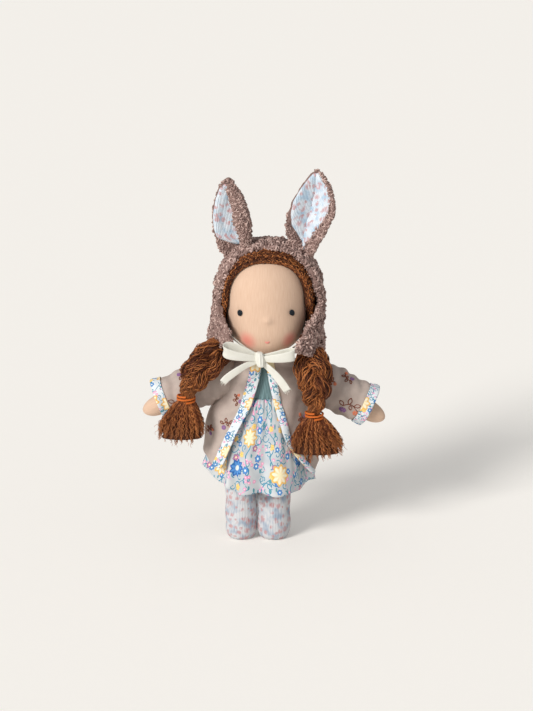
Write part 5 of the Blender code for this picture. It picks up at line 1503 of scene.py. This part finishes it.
for side in ("left", "right"):
    body = f"arm_{side}"
    way = -1 if side == "left" else 1
    turns = full_turn(48)[None] * way
    grid = arm_point(side, ARM_REACH, turns, np.interp(ARM_REACH, *np.array(ARM_RINGS).T), ARM_SQUASH)
    grid[..., 2] -= 3.2 * np.clip(ARM_REACH / 46, 0, 1) ** 1.5
    uv = points_at(turns * ARM_RADIUS, ARM_REACH)
    lap = 2 * math.pi * ARM_RADIUS * way
    arm = grid_piece(f"arm_{side}_stuffed", grid, SKIN, body, uv, wrap=True, ends=True, lap=lap)
    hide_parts(f"arm_{side}")
    smoothing = arm.modifiers.new("round", "SUBSURF")
    smoothing.levels = smoothing.render_levels = 1
    turns = np.linspace(0, 2 * math.pi * way, 121)[None] + math.pi
    reach = np.linspace(-8.5, SLEEVE_END, 90)[:, None]
    grid = arm_point(side, reach, turns, sleeve_radius(side, reach, turns), SLEEVE_SQUASH)
    uv = points_at(turns * SLEEVE_WIDEST, reach)
    sleeve = cloth_sheet(f"sleeve_{side}_cloth", grid, JACKET, JACKET_THICK, body, uv=uv)
    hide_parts(f"sleeve_{side}")
    radius = sleeve_radius(side, np.minimum(CUFF_REACH, SLEEVE_END), turns) + CUFF_OUT
    grid = arm_point(side, CUFF_REACH, turns, radius, SLEEVE_SQUASH)
    uv = points_at(turns * CUFF_ROUND, run_along(grid[:, 0])[:, None])
    cuff = cloth_sheet(f"cuff_{side}_cloth", grid, BAND_PRINT, BAND_THICK, body, uv=uv)
    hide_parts(f"cuff_{side}")

    def on_sleeve(patch, run, side=side):
        reach, turn = patch[0] + run[:, 0], patch[1] - run[:, 1] / 12.5
        return arm_point(side, reach, turn, sleeve_radius(side, reach, turn) + 0.55, SLEEVE_SQUASH)

    stitch_on(f"sleeve_{side}", on_sleeve, SLEEVE_PATCHES, body)
print("arms, sleeves and cuffs")

# %% [markdown]
# ## Legs
# The legs are stuffed tubes of the heathered knit, with round feet that reach a little forward.

# %% Legs
# Rows of a leg: side, middle across, radius, and the phase of its soft creases.
LEGS = (("left", -14.65, 9.2, -14.65), ("right", 4.3, 9.6, math.pi - 14.65))
HIP_DOME, HEEL_TALL, HEEL_ROUND = 9.0, 6.2, 3.6
SOLE = (4.6, 3.6, 2.4, 1.2, 0.3)
dome = np.linspace(0.12, math.pi / 2, 12)
heel = np.linspace(math.pi / 2, 0, 12)[1:]
shaft = np.linspace(60, 7, 30)
z = np.concatenate([HIP_Z + HIP_DOME * np.cos(dome), shaft, HEEL_TALL * (1 - np.cos(heel)), [0] * len(SOLE)])[:, None]
turns = full_turn(64)[None] - math.pi
for side, x, girth, phase in LEGS:
    body = f"leg_{side}"
    foot = girth - HEEL_ROUND * (1 - np.sin(heel) ** 0.9)
    radius = np.concatenate([girth * np.sin(dome), np.full(len(shaft), girth), foot, SOLE])[:, None]
    toe = np.minimum(radius / 5.5, 1) * 1.7 * np.clip((26 - z) / 18, 0, 1) ** 1.5
    soft = 0.25 * np.sin(z * 0.42 + turns * 2 + phase) * np.clip(z / 10, 0, 1)
    y = -toe / 2 - (radius + toe / 2 + soft) * np.cos(turns)
    grid = points_at(x + (radius + soft) * np.sin(turns), y, z)
    down = running(np.linalg.norm(np.diff(grid, axis=0), axis=2).mean(1))
    uv = points_at(turns * girth + x * 3, -down[:, None])
    lap = 2 * math.pi * girth
    leg = grid_piece(f"leg_{side}_stuffed", grid, STOCKING, body, uv, wrap=True, ends=True, lap=lap)
    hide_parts(f"leg_{side}")
print("legs")

# %% [markdown]
# ## Braids and tassels
# Each braid is a real plait. Three locks swing from side to side a third of a turn apart, and move forward and
# back twice as often, so they pass over and under each other. A lock has a core and many fine crinkled hairs.
# Below the elastic the hair is brushed out into a tassel of hundreds of wavy strands with lighter tips.

# %% Plaits
AHEAD = np.array((0, -1.0, 0))
HAIRS_IN_LOCK = 96
HAIR_RADIUS = 0.2


def plait(side, knots, widths, crossings, seed):
    """The cores of the three locks and the fine hairs on them. Crossings counts a lock's full swings."""
    rng = np.random.default_rng(seed)
    steps = 90
    middle = smooth_path(knots, steps)
    place = np.linspace(0, 1, steps)
    half = np.interp(place, *np.array(widths).T)[:, None]
    along = unit(np.gradient(middle, axis=0))
    front = unit(AHEAD - along * (along @ AHEAD)[:, None])
    right = np.cross(front, along)
    cores, hairs, tones = [], [], []
    for lock in range(3):
        phase = (place * crossings * 2 * math.pi + lock * 2 * math.pi / 3)[:, None]
        core = middle + right * np.sin(phase) * 0.54 * half + front * np.sin(2 * phase) * 0.30 * half
        cores.append(core)
        way = unit(np.gradient(core, axis=0))
        side_way = unit(np.cross(way, front))
        up_way = np.cross(side_way, way)
        for _ in range(HAIRS_IN_LOCK):
            angle = rng.uniform(0, 2 * math.pi) + place[:, None] * rng.uniform(-3, 3)
            crinkle = place[:, None] * rng.uniform(45, 85) + rng.uniform(0, 6)
            radius = half * rng.uniform(0.40, 0.55) + 0.42 * np.sin(crinkle) + rng.uniform(-0.1, 0.5)
            angle = angle + 0.2 * np.cos(crinkle)
            hairs.append(core + (side_way * np.cos(angle) + up_way * np.sin(angle)) * radius)
            tones.append(np.clip(rng.normal(0.5, 0.36), 0, 1))
    body = f"braid_{side}"
    # The cores are painted dark: shade inside the plait, under its hairs.
    core_piece = thread_piece(f"plait_{side}_locks", cores, half[:, 0] * 0.42, HAIR_SHADE, body, sides=14)
    hair_piece = thread_piece(f"plait_{side}_hairs", hairs, HAIR_RADIUS, MOHAIR, body, sides=3, tones=tones)
    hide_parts(f"braid_{side}")


STRAND_RADIUS = 0.24
TIE_RADIUS = 1.6


def tassel(side, tie, drift, long, wide, deep, count, seed):
    """Strands that leave the tie close together and spread like a brush."""
    rng = np.random.default_rng(seed)
    steps = np.linspace(0, 1, 34)
    paths, tones = [], []
    for _ in range(count):
        u = rng.uniform(-1, 1)
        v = rng.uniform(-1, 1) * math.sqrt(1 - 0.7 * u * u)
        uneven = 0.95 + 0.05 * math.cos(round(u * 4.5) * 2.2 + seed)
        length = long * rng.uniform(0.66, 1.0) * (1 - 0.16 * u * u) * uneven
        clump = (round(u * 4.5 + 0.2 * v) / 4.5 - u) * wide * 0.7 * steps**2
        spread = steps ** (0.62 + 0.1 * abs(u))
        crinkle = steps * rng.uniform(26, 46) + rng.uniform(0, 6)
        lively = 0.55 * np.minimum(steps * 3, 1)
        x = tie[0] + drift * steps + u * wide * spread + clump + 1.5 * u + lively * np.sin(crinkle)
        y = tie[1] + v * deep * spread + 1.5 * v + lively * np.cos(crinkle * 0.9)
        paths.append(points_at(x, y, tie[2] + 0.6 - length * steps))
        # Strands further back are a little darker: painted shade at the back of the tassel. The rest of the tone
        # varies at random.
        tones.append(np.clip(rng.normal(0.48, 0.24) - 0.1 * v, 0, 1))
    core = np.linspace(0, 0.86, 24)[:, None]
    turns = full_turn(36)[None]
    x = tie[0] + drift * core + (TIE_RADIUS + wide * 0.86 * core**0.62) * np.sin(turns)
    y = tie[1] - (TIE_RADIUS + deep * 0.8 * core**0.62) * np.cos(turns)
    grid = points_at(x, y, tie[2] - long * 0.94 * core)
    body = f"braid_{side}"
    # The heart is painted dark: shade inside the tassel, under its strands.
    heart = grid_piece(f"tassel_{side}_heart", grid, HAIR_SHADE, body, wrap=True, ends=True)
    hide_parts(f"tassel_{side}")
    taper = STRAND_RADIUS * (1 - 0.65 * steps**3)
    strands = thread_piece(f"tassel_{side}_strands", paths, taper, MOHAIR, body, sides=3, tones=tones)


# Knots of a braid's middle line from its root, and rows of its half width: share of the way down, and size.
LEFT_PLAIT = (
    (-25.2, -11.0, 119.2), (-28.8, -16.8, 115.6), (-36.5, -22.3, 109.5), (-42.0, -21.3, 100.5), (-45.6, -18.9, 90.4),
)
LEFT_WIDTHS = ((0, 5.0), (0.15, 7.6), (0.4, 9.4), (0.65, 8.6), (0.85, 5.4), (0.97, 3.2), (1, 3.0))
RIGHT_PLAIT = (
    (24.0, -11.0, 112.8), (25.8, -17.4, 108.5), (27.6, -22.4, 101.0), (27.6, -21.6, 91.0), (27.3, -18.9, 80.4),
)
RIGHT_WIDTHS = ((0, 6.0), (0.15, 9.0), (0.35, 10.0), (0.6, 8.8), (0.82, 5.8), (0.96, 3.3), (1, 3.0))
plait("left", LEFT_PLAIT, LEFT_WIDTHS, crossings=1.2, seed=61)
plait("right", RIGHT_PLAIT, RIGHT_WIDTHS, crossings=1.4, seed=62)
tassel("left", (-45.8, -18.8, 90.0), drift=-3.0, long=29.5, wide=12.6, deep=5.4, count=900, seed=71)
tassel("right", (27.3, -18.8, 80.0), drift=1.6, long=28.5, wide=14.6, deep=5.4, count=1100, seed=72)
for side in ("left", "right"):
    recolour(f"hair_band_{side}", BAND)
print("braids and tassels")
